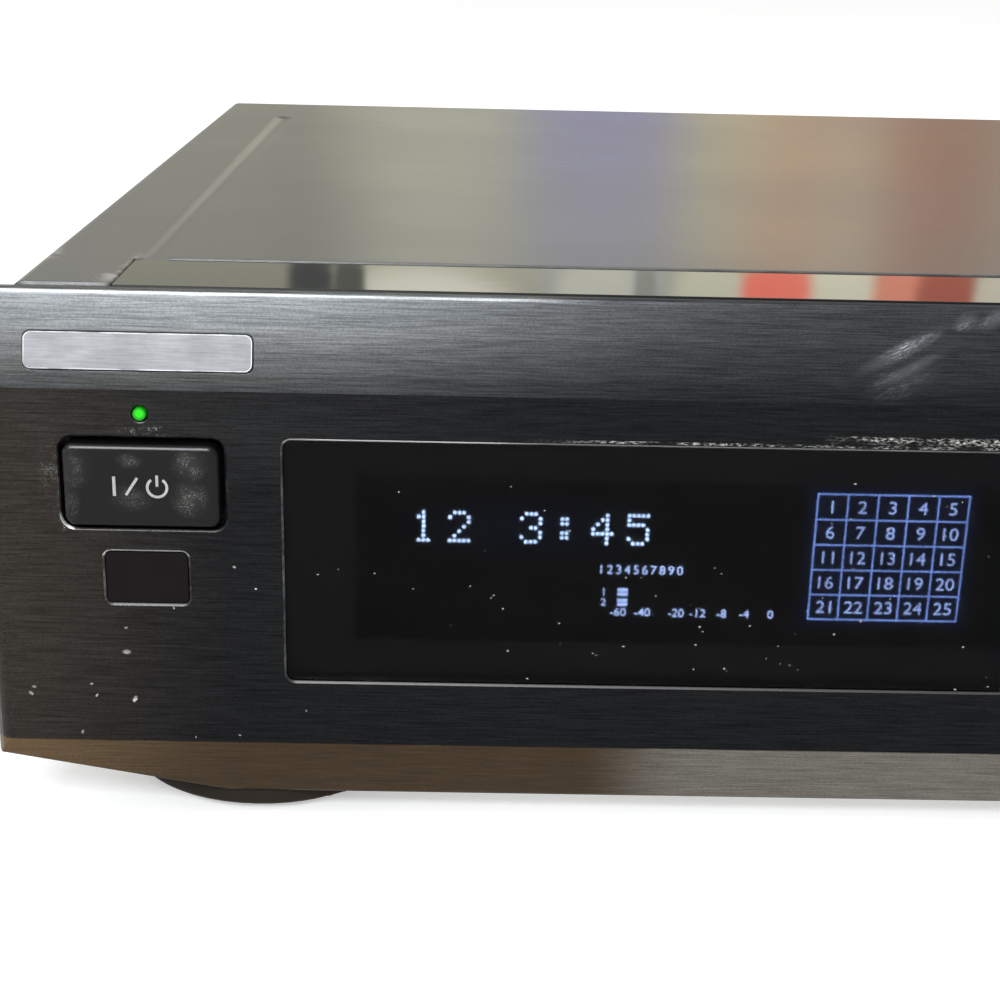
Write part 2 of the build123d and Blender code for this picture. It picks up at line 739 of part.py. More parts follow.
def make_cover():
    half = COVER_W / 2
    rear = COVER_REAR
    outer = block((-half, half), (COVER_FRONT, rear), (COVER_Z, HEIGHT))
    long_edges = outer.edges().filter_by(Axis.Y).sort_by(Axis.Z)[-2:]
    outer = fillet(long_edges, COVER_ROUND)
    inner = half - COVER_T
    cover = outer - block((-inner, inner), (COVER_FRONT - 1, rear - COVER_T), (0, COVER_UNDER))
    cover -= block((-inner, inner), (rear - COVER_T - 1, rear + 1), (0, HEIGHT - LIP_H))
    notch = STRIP_W / 2 + NOTCH_GAP
    cover -= block((-notch, notch), (0, STRIP_REAR + NOTCH_GAP), (COVER_UNDER - 1, HEIGHT + 1))
    for side in (-1, 1):
        radius = (BEAD_W ** 2 / 4 + BEAD_DEPTH ** 2) / (2 * BEAD_DEPTH)
        x = side * (half - BEAD_INSET)
        bead_end = BEAD_REAR - BEAD_W / 2
        bead = Cylinder(radius, bead_end - STRIP_REAR, rotation=(90, 0, 0))
        middle = back((bead_end + STRIP_REAR) / 2)
        cover -= Pos(x, middle, HEIGHT + radius - BEAD_DEPTH) * bead
        cover -= Pos(x, back(bead_end), HEIGHT + radius - BEAD_DEPTH) * Sphere(radius)
        for y in SIDE_SCREWS:
            wall = sorted((side * (inner - 1), side * (half + 1)))
            cover -= along_x(Circle(SCREW_HOLE_R), y, SIDE_SCREW_Z, wall)
    for x in REAR_SCREWS:
        cover -= along_y(Circle(SCREW_HOLE_R), x, HEIGHT - LIP_H / 2, (rear - 2, rear + 1))
    return cover


def mech_legs():
    """Centres of the four legs that carry the mechanism, as X and distance back."""
    xs = (SLOT_X - MECH_LEFT + LEG_INSET, SLOT_X + MECH_RIGHT - LEG_INSET)
    ys = (MECH_FRONT + LEG_INSET, MECH_REAR - LEG_INSET)
    return [(x, y) for x in xs for y in ys]


def board_posts(x, y):
    xs = (x[0] + STANDOFF_INSET, x[1] - STANDOFF_INSET)
    ys = (y[0] + STANDOFF_INSET, y[1] - STANDOFF_INSET)
    return [(px, py) for px in xs for py in ys]


def make_base():
    half = BASE_HALF
    front = WEB_BACK
    floor = (BASE_Z, BASE_TOP)
    base = block((-half, half), (front, REAR_FRONT), floor)
    for side in (-1, 1):
        wall = sorted((side * half, side * (half - BASE_T)))
        base += block(wall, (front, REAR_FRONT), (BASE_Z, FLANGE_TOP))
        for y in SIDE_SCREWS:
            hole = sorted((side * (half + 1), side * (half - BASE_T - 1)))
            base -= along_x(Circle(SCREW_HOLE_R), y, SIDE_SCREW_Z, hole)
    base += block((-half, half), (front, front + BASE_T), (BASE_Z, FRAME_TUBE_Z))
    rear_flange = (BASE_Z, BASE_TOP + REAR_FLANGE_H)
    base += block((-half, half), (REAR_FRONT - BASE_T, REAR_FRONT), rear_flange)
    for x, y in board_posts(MAIN_X, MAIN_Y) + board_posts(POWER_BOARD_X, POWER_BOARD_Y):
        base += along_z(Circle(STANDOFF_R), x, y, (BASE_TOP, BASE_TOP + STANDOFF_H))
    for x, y in FEET:
        base -= along_z(Circle(SCREW_HOLE_R), x, y, (BASE_Z - 1, BASE_TOP + 1))
    for index in range(VENT_COUNT):
        x = CORE_X + (index - (VENT_COUNT - 1) / 2) * VENT_PITCH
        base -= along_z(Rectangle(VENT_W, VENT_L), x, CORE_Y - CORE_H, (BASE_Z - 1, BASE_TOP + 1))
    return base


def make_rear_panel():
    half = BASE_HALF - BASE_T - FREE
    depth = (REAR_FRONT - 1, REAR_BACK + 1)
    top = COVER_UNDER
    panel = block((-half, half), (REAR_FRONT, REAR_BACK), (BASE_Z, top))
    panel += block((-half, half), (REAR_FRONT - LIP_H, REAR_BACK), (top - REAR_T, top))
    for x in PHONO_X:
        for z in PHONO_Z:
            panel -= along_y(Circle(PHONO_R + FREE), x, z, depth)
    for x in OPTICAL_X:
        outline = Rectangle(OPTICAL_W + FREE, OPTICAL_H + FREE)
        panel -= along_y(outline, x, OPTICAL_Z, depth)
    panel -= along_y(inlet_outline(INLET_WALL + SEAT), INLET_X, INLET_Z, depth)
    for x in REAR_SCREWS:
        panel -= along_y(Circle(SCREW_HOLE_R), x, HEIGHT - LIP_H / 2, depth)
    for index in range(VENT_COUNT):
        x = VENT_X + index * VENT_PITCH
        panel -= along_y(Rectangle(VENT_W, VENT_L), x, VENT_Z, depth)
    return panel


def pan_screw(length):
    """A pan-head screw on Z: its head's seat at zero, its shank downwards."""
    head = Pos(0, 0, SCREW_HEAD_T / 2) * Cylinder(SCREW_HEAD_R, SCREW_HEAD_T)
    head = fillet(head.edges().sort_by(Axis.Z)[-1], SCREW_HEAD_T * 0.45)
    cross = Box(SCREW_HEAD_R, 0.8, 2) + Box(0.8, SCREW_HEAD_R, 2)
    head -= Pos(0, 0, SCREW_HEAD_T) * cross
    return head + Pos(0, 0, -length / 2) * Cylinder(SCREW_R, length)


def make_screws():
    screws = []
    for side in (-1, 1):
        for y in SIDE_SCREWS:
            place = Pos(side * COVER_W / 2, back(y), SIDE_SCREW_Z) * Rot(0, side * 90, 0)
            screws.append(place * pan_screw(SCREW_L))
    for x in REAR_SCREWS:
        place = Pos(x, back(COVER_REAR), HEIGHT - LIP_H / 2) * Rot(-90, 0, 0)
        screws.append(place * pan_screw(SCREW_L))
    for x, y in FEET:
        place = Pos(x, back(y), BASE_Z - FOOT_WEB) * Rot(180, 0, 0)
        screws.append(place * pan_screw(SCREW_L))
    return screws


def make_feet():
    feet = []
    pads = []
    for x, y in FEET:
        foot = along_z(Circle(FOOT_R), x, y, (PAD_T, BASE_Z))
        foot = fillet(foot.edges().sort_by(Axis.Z)[0], FOOT_ROUND)
        foot -= along_z(Circle(SCREW_HOLE_R), x, y, (0, BASE_Z + 1))
        foot -= along_z(Circle(FOOT_SINK_R), x, y, (0, BASE_Z - FOOT_WEB))
        feet.append(foot)
        pads.append(along_z(Circle(PAD_R) - Circle(PAD_BORE_R), x, y, (0, PAD_T)))
    return feet, pads


def make_power_button():
    cap = RectangleRounded(POWER_W - 2 * POWER_GAP, POWER_H - 2 * POWER_GAP, POWER_R - POWER_GAP / 2)
    button = along_y(cap, COLUMN_X, POWER_Z, (-POWER_PROUD, PLATE_BACK + FREE))
    button = fillet(front_edges(button, -POWER_PROUD), POWER_ROUND)
    flange = Rectangle(POWER_W + 2 * KEY_FLANGE, POWER_H + 2 * KEY_FLANGE)
    button += along_y(flange, COLUMN_X, POWER_Z, (PLATE_BACK, PLATE_BACK + KEY_FLANGE))
    stem = (PLATE_BACK, SWITCH_FRONT - POWER_TRAVEL - SEAT)
    return button + along_y(Circle(KEY_STEM_R), COLUMN_X, POWER_Z, stem)


def make_key(x, z, width):
    key = along_y(RectangleRounded(width, KEY_H, KEY_R), x, z, (-KEY_PROUD, PLATE_BACK + FREE))
    key = fillet(front_edges(key, -KEY_PROUD), KEY_ROUND)
    flange = Rectangle(width + 2 * (KEY_GAP + KEY_FLANGE), KEY_H + 2 * (KEY_GAP + KEY_FLANGE))
    key += along_y(flange, x, z, (PLATE_BACK, PLATE_BACK + KEY_FLANGE))
    stem = (PLATE_BACK, SWITCH_FRONT - KEY_TRAVEL - SEAT)
    return key + along_y(Circle(KEY_STEM_R), x, z, stem)


def make_jog_knob():
    knob = along_y(Circle(JOG_R), JOG_X, JOG_Z, (-JOG_PROUD, JOG_BACK))
    knob = fillet(front_edges(knob, -JOG_PROUD), JOG_RIM)
    hollow = Circle(JOG_R - JOG_WALL) - Circle(HUB_R)
    knob -= along_y(hollow, JOG_X, JOG_Z, (JOG_WALL + 1 - JOG_PROUD, JOG_BACK + 1))
    knob -= along_y(Circle(SHAFT_R + RUN_FIT), JOG_X, JOG_Z, (JOG_WALL - JOG_PROUD, JOG_BACK + 1))
    radius = (JOG_DIMPLE_R ** 2 + JOG_DIMPLE_DEPTH ** 2) / (2 * JOG_DIMPLE_DEPTH)
    ball = Sphere(radius)
    return knob - Pos(JOG_X, back(-JOG_PROUD - radius + JOG_DIMPLE_DEPTH), JOG_Z + JOG_DIMPLE_X) * ball


def make_jog_parts():
    """Shaft that slides and turns, rotor that turns, and the fixed housing."""
    rotor_y = (ENCODER_FRONT + ENCODER_LIP + RUN_FIT, BOARD_Y - 1.2)
    shaft = along_y(Circle(SHAFT_R), JOG_X, JOG_Z, (JOG_WALL - JOG_PROUD, rotor_y[1] - JOG_TRAVEL))
    rotor = along_y(Circle(ROTOR_R) - Circle(SHAFT_R + RUN_FIT), JOG_X, JOG_Z, rotor_y)
    housing = along_y(Rectangle(ENCODER_W, ENCODER_W), JOG_X, JOG_Z, (ENCODER_FRONT, BOARD_Y))
    housing -= along_y(Circle(ROTOR_R + RUN_FIT), JOG_X, JOG_Z, (ENCODER_FRONT + ENCODER_LIP, BOARD_Y - 1.0))
    housing -= along_y(Circle(SHAFT_R + 1), JOG_X, JOG_Z, (ENCODER_FRONT - 1, ENCODER_FRONT + 1))
    return shaft, rotor, housing


def make_level_knob(x, z, radius, proud):
    knob = along_y(Circle(radius), x, z, (-proud, -KNOB_GAP))
    knob = fillet(front_edges(knob, -proud), KNOB_ROUND)
    if radius > HUB_R + 2 * KNOB_WALL:
        hollow = Circle(radius - KNOB_WALL) - Circle(HUB_R)
        knob -= along_y(hollow, x, z, (KNOB_WALL + 1 - proud, 0))
    knob -= along_y(Circle(SHAFT_R + RUN_FIT), x, z, (KNOB_WALL - proud, 0))
    pointer = block(
        (x - POINTER_W / 2, x + POINTER_W / 2),
        (-proud - 1, POINTER_DEPTH - proud),
        (z + radius * POINTER_START, z + radius),
    )
    return knob - pointer


def make_level_shaft(x, z, proud):
    return along_y(Circle(SHAFT_R), x, z, (KNOB_WALL - proud, POT_FRONT + POT_BORE - FREE))


def make_pots():
    pots = []
    for x, z in POTS:
        pot = along_y(Rectangle(POT_W, POT_W), x, z, (POT_FRONT, BOARD_Y))
        pots.append(pot - along_y(Circle(SHAFT_R + RUN_FIT), x, z, (POT_FRONT - 1, POT_FRONT + POT_BORE)))
    return pots


def make_phones_jack():
    jack = along_y(Circle(JACK_NUT_R), JACK_X, PHONES_Z, (-JACK_NUT_T, 0))
    jack = chamfer(front_edges(jack, -JACK_NUT_T), JACK_NUT_T * 0.4)
    jack += along_y(Circle(JACK_BUSH_R), JACK_X, PHONES_Z, (-JACK_NUT_T, PLATE_BACK))
    body = Rectangle(JACK_BODY, JACK_BODY)
    jack += along_y(body, JACK_X, PHONES_Z, (PLATE_BACK, JACK_DEPTH + JACK_WALL))
    return jack - along_y(Circle(JACK_BORE_R), JACK_X, PHONES_Z, (-JACK_NUT_T - 1, JACK_DEPTH))


def make_timer_parts():
    knob = block(
        (TIMER_X - TIMER_KNOB_W / 2, TIMER_X + TIMER_KNOB_W / 2),
        (-TIMER_PROUD, BOARD_Y - TIMER_BOX_T - FREE),
        (PHONES_Z - TIMER_SLOT_H / 2 + FREE, PHONES_Z + TIMER_SLOT_H / 2 - FREE),
    )
    knob = fillet(front_edges(knob, -TIMER_PROUD), KEY_ROUND)
    cover = (TIMER_SLOT_W + 2 * TIMER_TRAVEL) / 2
    knob += block(
        (TIMER_X - cover, TIMER_X + cover),
        (PLATE_BACK, PLATE_BACK + KEY_FLANGE),
        (PHONES_Z - TIMER_BOX_H / 2, PHONES_Z + TIMER_BOX_H / 2),
    )
    switch = along_y(
        Rectangle(TIMER_BOX_W, TIMER_BOX_H), TIMER_X, PHONES_Z, (BOARD_Y - TIMER_BOX_T, BOARD_Y)
    )
    return knob, switch


def make_front_board():
    half = FRAME_W / 2 - FRAME_WALL - BOARD_MARGIN
    low = FRAME_TUBE_Z + FRAME_WALL + BOARD_MARGIN
    high = FRAME_TUBE_TOP - FRAME_WALL - BOARD_MARGIN
    y = (BOARD_Y, BOARD_Y + BOARD_T)
    board = block((-half, half), y, (low, high))
    gate = SLOT_W / 2 + BEZEL + BOARD_MARGIN
    board -= block((SLOT_X - gate, SLOT_X + gate), (0, FRAME_REAR), (SLOT_Z - BEZEL - BOARD_MARGIN, HEIGHT))
    jack = JACK_BODY / 2 + FREE
    return board - block((JACK_X - jack, JACK_X + jack), (0, FRAME_REAR), (0, PHONES_Z + jack))


def make_front_board_parts():
    """Key switches, the sensor can, the lamp's holder and the display driver."""
    parts = []
    for x, z in [(key[0], key[1]) for key in KEYS.values()] + [(COLUMN_X, POWER_Z)]:
        parts.append(along_y(Rectangle(SWITCH_W, SWITCH_W), x, z, (SWITCH_FRONT, BOARD_Y)))
    sensor_front = PLATE_BACK + KEY_FLANGE + FREE
    can = along_y(Rectangle(SENSOR_W * 0.7, SENSOR_H * 0.8), COLUMN_X, SENSOR_Z, (sensor_front, BOARD_Y))
    parts.append(can)
    driver = along_y(
        Rectangle(CORE_D * 0.6, CORE_D * 0.6), TUBE_X, TUBE_Z, (BOARD_Y + BOARD_T, BOARD_Y + BOARD_T + CHIP_T)
    )
    parts.append(driver)
    for side in (-1, 1):
        post_x = TUBE_X + side * (TUBE_W / 2 - TUBE_RIM)
        parts.append(
            block((post_x - 2, post_x + 2), (PLATE_BACK + TUBE_T, BOARD_Y), (TUBE_Z - 6, TUBE_Z + 6))
        )
    return parts


def make_display_tube():
    outline = RectangleRounded(TUBE_W, TUBE_H, 1)
    tube = along_y(outline, TUBE_X, TUBE_Z, (PLATE_BACK, PLATE_BACK + TUBE_T))
    return chamfer(tube.edges().group_by(Axis.Y)[-1], 0.6)


def make_power_led():
    lamp = along_y(Circle(LED_R), COLUMN_X, LED_Z, (-0.2, PLATE_BACK))
    lamp += along_y(Circle(LED_R + LED_FLANGE), COLUMN_X, LED_Z, (PLATE_BACK, PLATE_BACK + 3))
    for side in (-1, 1):
        lead = along_y(Circle(0.3), COLUMN_X + side * 0.7, LED_Z, (PLATE_BACK + 3, BOARD_Y))
        lamp += lead
    return lamp


def make_sensor_window():
    plug = RectangleRounded(SENSOR_W - 2 * SEAT, SENSOR_H - 2 * SEAT, SENSOR_R - SEAT)
    window = along_y(plug, COLUMN_X, SENSOR_Z, (SENSOR_RECESS, PLATE_BACK + FREE))
    flange = Rectangle(SENSOR_W + 2 * KEY_FLANGE, SENSOR_H + 2 * KEY_FLANGE)
    return window + along_y(flange, COLUMN_X, SENSOR_Z, (PLATE_BACK, PLATE_BACK + KEY_FLANGE))


def make_holder():
    """Sheet-metal cartridge holder with side lips, a head opening and four pins."""
    y = (HOLDER_Y, HOLDER_Y + CARTRIDGE_L)
    low = HOLDER_Z - HOLDER_H / 2
    high = HOLDER_Z + HOLDER_H / 2
    outer = block((SLOT_X - HOLDER_OUT, SLOT_X + HOLDER_OUT), y, (low - HOLDER_T, high + HOLDER_T))
    inside = HOLDER_W / 2
    holder = outer - block((SLOT_X - inside, SLOT_X + inside), (y[0] - 1, y[1] + 1), (low, high))
    gap = inside - HOLDER_LIP
    holder -= block((SLOT_X - gap, SLOT_X + gap), (y[0] - 1, y[1] + 1), (low - 2 * HOLDER_T, low + HOLDER_T))
    holder -= head_way(SLOT_X + HEAD_OPEN_X0, SLOT_X + HOLDER_OUT + 1)
    left_end = SLOT_X - SLIDER_IN - SLIDER_T / 2
    right_end = SLOT_X + WALL_OUT
    for pin in HOLDER_PINS:
        for ends in ((left_end, SLOT_X - inside), (SLOT_X + inside, right_end)):
            holder += along_x(Circle(PIN_R), HOLDER_Y + pin, HOLDER_Z, ends)
    return holder


def head_way(start, end):
    """Way for the head's arm, through the holder's roof and the walls beside it."""
    half = HEAD_OPEN_W / 2
    return block((start, end), (HUB_Y - half, HUB_Y + half), (HEAD_OPEN_Z, MECH_WALL_TOP + 1))


def make_mech_chassis():
    plate_x = (SLOT_X - MECH_LEFT, SLOT_X + MECH_RIGHT)
    chassis = block(plate_x, (MECH_FRONT, MECH_REAR), (MECH_UNDER, MECH_TOP))
    reach = HOLDER_Y + CARTRIDGE_L
    for side in (-1, 1):
        wall = sorted((SLOT_X + side * WALL_IN, SLOT_X + side * WALL_OUT))
        chassis += block(wall, (HOLDER_Y, reach), (MECH_TOP, MECH_WALL_TOP))
        for pin in HOLDER_PINS:
            slot = SlotCenterToCenter(HOLDER_DROP, 2 * (PIN_R + FREE), rotation=90)
            way = (wall[0] - 1, wall[1] + 1)
            chassis -= along_x(slot, HOLDER_Y + pin, HOLDER_Z - HOLDER_DROP / 2, way)
    outer = SLOT_X - SLIDER_OUT - FREE
    for y in HOOKS:
        length = (y - HOOK_L / 2, y + HOOK_L / 2)
        hook_z = (SLIDER_TOP + FREE, MECH_WALL_TOP + FREE)
        chassis += block((outer - HOOK_T, SLOT_X - WALL_IN), length, hook_z)
        chassis += block((outer - HOOK_T, outer), length, (MECH_WALL_TOP - 3 * HOOK_T, MECH_WALL_TOP))
    chassis -= head_way(SLOT_X + WALL_IN - 1, SLOT_X + WALL_OUT + 1)
    lens_way = (SLOT_X + LENS_X - LENS_R - 1, SLOT_X + LENS_X + SLED_TRAVEL + LENS_R + 1)
    chassis -= block(lens_way, (HUB_Y - LENS_SLOT / 2, HUB_Y + LENS_SLOT / 2), (0, MECH_TOP + 1))
    arm_way = (SLOT_X + BRACKET_X - 1, SLOT_X + BRACKET_X + BRACKET_T + SLED_TRAVEL + 1)
    chassis -= block(arm_way, (HUB_Y - BRACKET_W / 2 - 1, HUB_Y + BRACKET_W / 2 + 1), (0, MECH_TOP + 1))
    chassis -= along_z(Circle(SPINDLE_HOLE_R), SLOT_X, HUB_Y, (0, MECH_TOP + 1))
    chassis -= along_z(Circle(GEAR_SHAFT_R + FREE), GEAR_X, GEAR_Y, (0, MECH_TOP + 1))
    for y in (HUB_Y - ROD_SPREAD, HUB_Y + ROD_SPREAD, HUB_Y + SCREW_SPREAD):
        radius = ROD_R if y != HUB_Y + SCREW_SPREAD else LEAD_R
        for x in (ROD_X0, ROD_X1 - ROD_BLOCK):
            ends = (SLOT_X + x, SLOT_X + x + ROD_BLOCK)
            post = block(ends, (y - 3, y + 3), (ROD_Z - 3, MECH_UNDER))
            chassis += post - along_x(Circle(radius + RUN_FIT), y, ROD_Z, (ends[0] - 1, ends[1] + 1))
    for x, y in mech_legs():
        chassis -= along_z(Circle(DAMPER_STEM_R + FREE), x, y, (0, MECH_TOP + 1))
    return chassis


def make_dampers():
    """Rubber bushes: a block under the plate, a neck through it and a cap on top."""
    dampers = []
    for x, y in mech_legs():
        damper = along_z(Circle(DAMPER_R), x, y, (MECH_UNDER - DAMPER_H, MECH_UNDER))
        damper += along_z(Circle(DAMPER_STEM_R), x, y, (MECH_UNDER, MECH_TOP))
        dampers.append(damper + along_z(Circle(DAMPER_R - 1), x, y, (MECH_TOP, MECH_TOP + 1.5)))
    return dampers


def make_mech_bracket():
    """Two pressed strips on the base, turned up at both ends to carry the dampers."""
    strips = []
    top = MECH_UNDER - DAMPER_H
    half = LEG_W / 2
    xs = sorted({x for x, y in mech_legs()})
    ys = sorted({y for x, y in mech_legs()})
    for x in xs:
        side = (x - half, x + half)
        strip = block(side, (ys[0] - half, ys[1] + half), (BASE_TOP, BASE_TOP + LEG_T))
        strip += block(side, (ys[0] - half, ys[0] - half + LEG_T), (BASE_TOP, top))
        strip += block(side, (ys[1] + half - LEG_T, ys[1] + half), (BASE_TOP, top))
        for y in ys:
            strip += block(side, (y - half, y + half), (top - LEG_T, top))
        strips.append(strip)
    return strips


def involute(radius, base):
    """Angle of an involute from its root on the base circle, at this radius."""
    along = math.acos(min(1.0, base / radius))
    return math.tan(along) - along


def gear_outline():
    """Spur gear with involute flanks and the backlash taken off each tooth."""
    base = GEAR_R * math.cos(math.radians(PRESSURE))
    tip = GEAR_R + GEAR_MODULE * 0.9
    root = GEAR_R - GEAR_MODULE * GEAR_ROOT
    half = math.pi / (2 * GEAR_TEETH) - GEAR_BACKLASH / (2 * GEAR_R)
    start = max(base, root)
    flank = []
    for step in range(FLANK_STEPS + 1):
        radius = start + (tip - start) * step / FLANK_STEPS
        flank.append((radius, half + involute(GEAR_R, base) - involute(radius, base)))
    points = []
    for tooth in range(GEAR_TEETH):
        middle = 2 * math.pi * tooth / GEAR_TEETH
        rising = [(radius, middle - angle) for radius, angle in flank]
        falling = [(radius, middle + angle) for radius, angle in reversed(flank)]
        outline = [(root, rising[0][1])] + rising + falling + [(root, falling[-1][1])]
        points += [(radius * math.cos(angle), radius * math.sin(angle)) for radius, angle in outline]
    return polygon(points)


def make_gear():
    gear = along_z(gear_outline(), GEAR_X, GEAR_Y, (RACK_Z, RACK_Z + GEAR_T))
    bottom = MECH_UNDER - LOAD_BOX_H / 2
    return gear + along_z(Circle(GEAR_SHAFT_R), GEAR_X, GEAR_Y, (bottom, RACK_Z + GEAR_T + 1))


def make_slider():
    """Cam slider with two slanted slots, and a rack that faces the loading gear."""
    x = (SLOT_X - SLIDER_OUT, SLOT_X - SLIDER_IN)
    slider = block(x, (SLIDER_Y, SLIDER_Y + SLIDER_L), (RACK_Z, SLIDER_TOP))
    for pin in HOLDER_PINS:
        length = math.hypot(SLIDER_TRAVEL, HOLDER_DROP)
        slope = math.degrees(math.atan2(HOLDER_DROP, SLIDER_TRAVEL))
        slot = SlotCenterToCenter(length, 2 * (PIN_R + FREE), rotation=slope)
        middle_y = HOLDER_Y + pin - SLIDER_TRAVEL / 2
        slider -= along_x(slot, middle_y, HOLDER_Z - HOLDER_DROP / 2, (x[0] - 1, x[1] + 1))
    body_x = RACK_PITCH_X + GEAR_MODULE * GEAR_ROOT
    rack = block((body_x, x[0]), (RACK_Y, RACK_Y + RACK_L), (RACK_Z, RACK_Z + RACK_T))
    pitch = math.pi * GEAR_MODULE
    slope = math.tan(math.radians(PRESSURE))
    half = pitch / 4 - GEAR_BACKLASH / 2
    tip = GEAR_MODULE * 0.9
    foot = GEAR_MODULE * GEAR_ROOT
    first = math.ceil((RACK_Y + pitch / 2 - GEAR_Y) / pitch)
    last = math.floor((RACK_Y + RACK_L - pitch / 2 - GEAR_Y) / pitch)
    for index in range(first, last + 1):
        y = (index + 0.5) * pitch
        tooth = polygon(
            [
                (foot + 0.01, y - half - foot * slope),
                (-tip, y - half + tip * slope),
                (-tip, y + half - tip * slope),
                (foot + 0.01, y + half + foot * slope),
            ]
        )
        rack += along_z(tooth, RACK_PITCH_X, GEAR_Y, (RACK_Z, RACK_Z + RACK_T))
    return slider + rack


def make_loading_motor():
    """Gearbox under the plate with its motor can; the gear's shaft turns in it."""
    low = MECH_UNDER - LOAD_BOX_H
    half = LOAD_BOX_W / 2
    motor = block((GEAR_X - half, GEAR_X + half), (GEAR_Y - half, GEAR_Y + half), (low, MECH_UNDER))
    can = (GEAR_Y + half, GEAR_Y + half + LOAD_MOTOR_L)
    motor += along_y(Circle(LOAD_MOTOR_R), GEAR_X, MECH_UNDER - LOAD_MOTOR_R - 0.5, can)
    depth = MECH_UNDER - LOAD_BOX_H / 2 - FREE
    return motor - along_z(Circle(GEAR_SHAFT_R + RUN_FIT), GEAR_X, GEAR_Y, (depth, MECH_UNDER + 1))


def make_turntable():
    top = TURNTABLE_Z + TURNTABLE_T
    table = along_z(Circle(TURNTABLE_R), SLOT_X, HUB_Y, (TURNTABLE_Z, top))
    table = chamfer(table.edges().sort_by(Axis.Z)[-1], 0.6)
    cone = Pos(SLOT_X, back(HUB_Y), top + CONE_H / 2) * Cone(CONE_R, CONE_R * 0.55, CONE_H)
    bottom = MECH_UNDER - SPINDLE_MOTOR_H + 2
    return table + cone + along_z(Circle(SPINDLE_R), SLOT_X, HUB_Y, (bottom, TURNTABLE_Z))


def make_spindle_motor():
    low = MECH_UNDER - SPINDLE_MOTOR_H
    motor = along_z(Circle(SPINDLE_MOTOR_R), SLOT_X, HUB_Y, (low, MECH_UNDER))
    return motor - along_z(Circle(SPINDLE_R + RUN_FIT), SLOT_X, HUB_Y, (low + 1.5, MECH_UNDER + 1))


def make_pickup():
    """Sled on two rods, with the lens barrel, the screw's nut and the head's bracket."""
    x = (SLOT_X + SLED_X0, SLOT_X + SLED_X0 + SLED_W)
    z = (ROD_Z - SLED_T / 2, ROD_Z + SLED_T / 2)
    sled = block(x, (HUB_Y - SLED_HALF, HUB_Y + SLED_HALF), z)
    sled += block(x, (HUB_Y + SLED_HALF, HUB_Y + SCREW_SPREAD + 3), (ROD_Z - 3, ROD_Z + 3))
    barrel = along_z(Circle(LENS_R), SLOT_X + LENS_X, HUB_Y, (z[1], LENS_TOP))
    lens = Pos(SLOT_X + LENS_X, back(HUB_Y), LENS_TOP) * Cylinder(LENS_R * 0.7, 0.8)
    bracket = block(
        (SLOT_X + BRACKET_X, SLOT_X + BRACKET_X + BRACKET_T),
        (HUB_Y - BRACKET_W / 2, HUB_Y + BRACKET_W / 2),
        (z[1] - 1, HEAD_PIVOT_Z + 2),
    )
    gap = HEAD_ARM_W / 2 + FREE - HEAD_EAR
    bracket -= block(
        (SLOT_X + BRACKET_X - 1, SLOT_X + BRACKET_X + BRACKET_T + 1),
        (HUB_Y - gap, HUB_Y + gap),
        (HEAD_PIVOT_Z - 2.2, HEAD_PIVOT_Z + 3),
    )
    middle = SLOT_X + BRACKET_X + BRACKET_T / 2
    ear = BRACKET_W / 2 + 1
    bracket -= along_y(Circle(HEAD_PIN_R), middle, HEAD_PIVOT_Z, (HUB_Y - ear, HUB_Y + ear))
    sled = sled + barrel + lens + bracket
    for y in (HUB_Y - ROD_SPREAD, HUB_Y + ROD_SPREAD):
        sled -= along_x(Circle(ROD_R + RUN_FIT), y, ROD_Z, (x[0] - 1, x[1] + 1))
    return sled - along_x(Circle(LEAD_R + RUN_FIT), HUB_Y + SCREW_SPREAD, ROD_Z, (x[0] - 1, x[1] + 1))


def make_head_arm():
    """Arm of the magnetic head: a pivot pin, a flat arm and a pad over the lens."""
    middle = SLOT_X + BRACKET_X + BRACKET_T / 2
    tip = SLOT_X + LENS_X
    half = HEAD_ARM_W / 2 - HEAD_EAR
    z = (HEAD_PIVOT_Z - HEAD_ARM_T / 2, HEAD_PIVOT_Z + HEAD_ARM_T / 2)
    arm = block((tip - 3, middle), (HUB_Y - half, HUB_Y + half), z)
    arm += along_y(Circle(HEAD_PIN_R + 0.5), middle, HEAD_PIVOT_Z, (HUB_Y - half, HUB_Y + half))
    ear = BRACKET_W / 2
    arm += along_y(Circle(HEAD_PIN_R - RUN_FIT), middle, HEAD_PIVOT_Z, (HUB_Y - ear, HUB_Y + ear))
    return arm + block((tip - 3, tip + 3), (HUB_Y - half, HUB_Y + half), (z[0] - HEAD_PAD_H, z[0]))


def make_lead_screw():
    y = HUB_Y + SCREW_SPREAD
    end = SLOT_X + ROD_X1 + SLED_MOTOR_L / 2
    return along_x(Circle(LEAD_R), y, ROD_Z, (SLOT_X + ROD_X0, end))


def make_sled_motor():
    y = HUB_Y + SCREW_SPREAD
    start = SLOT_X + ROD_X1
    motor = along_x(Circle(SLED_MOTOR_R), y, ROD_Z, (start, start + SLED_MOTOR_L))
    return motor - along_x(Circle(LEAD_R + RUN_FIT), y, ROD_Z, (start - 1, start + SLED_MOTOR_L / 2 + FREE))


def make_rods():
    rods = []
    for y in (HUB_Y - ROD_SPREAD, HUB_Y + ROD_SPREAD):
        rods.append(along_x(Circle(ROD_R), y, ROD_Z, (SLOT_X + ROD_X0, SLOT_X + ROD_X1)))
    return rods


def make_main_board():
    z = (BOARD_TOP - BOARD_T, BOARD_TOP)
    return block(MAIN_X, MAIN_Y, z)


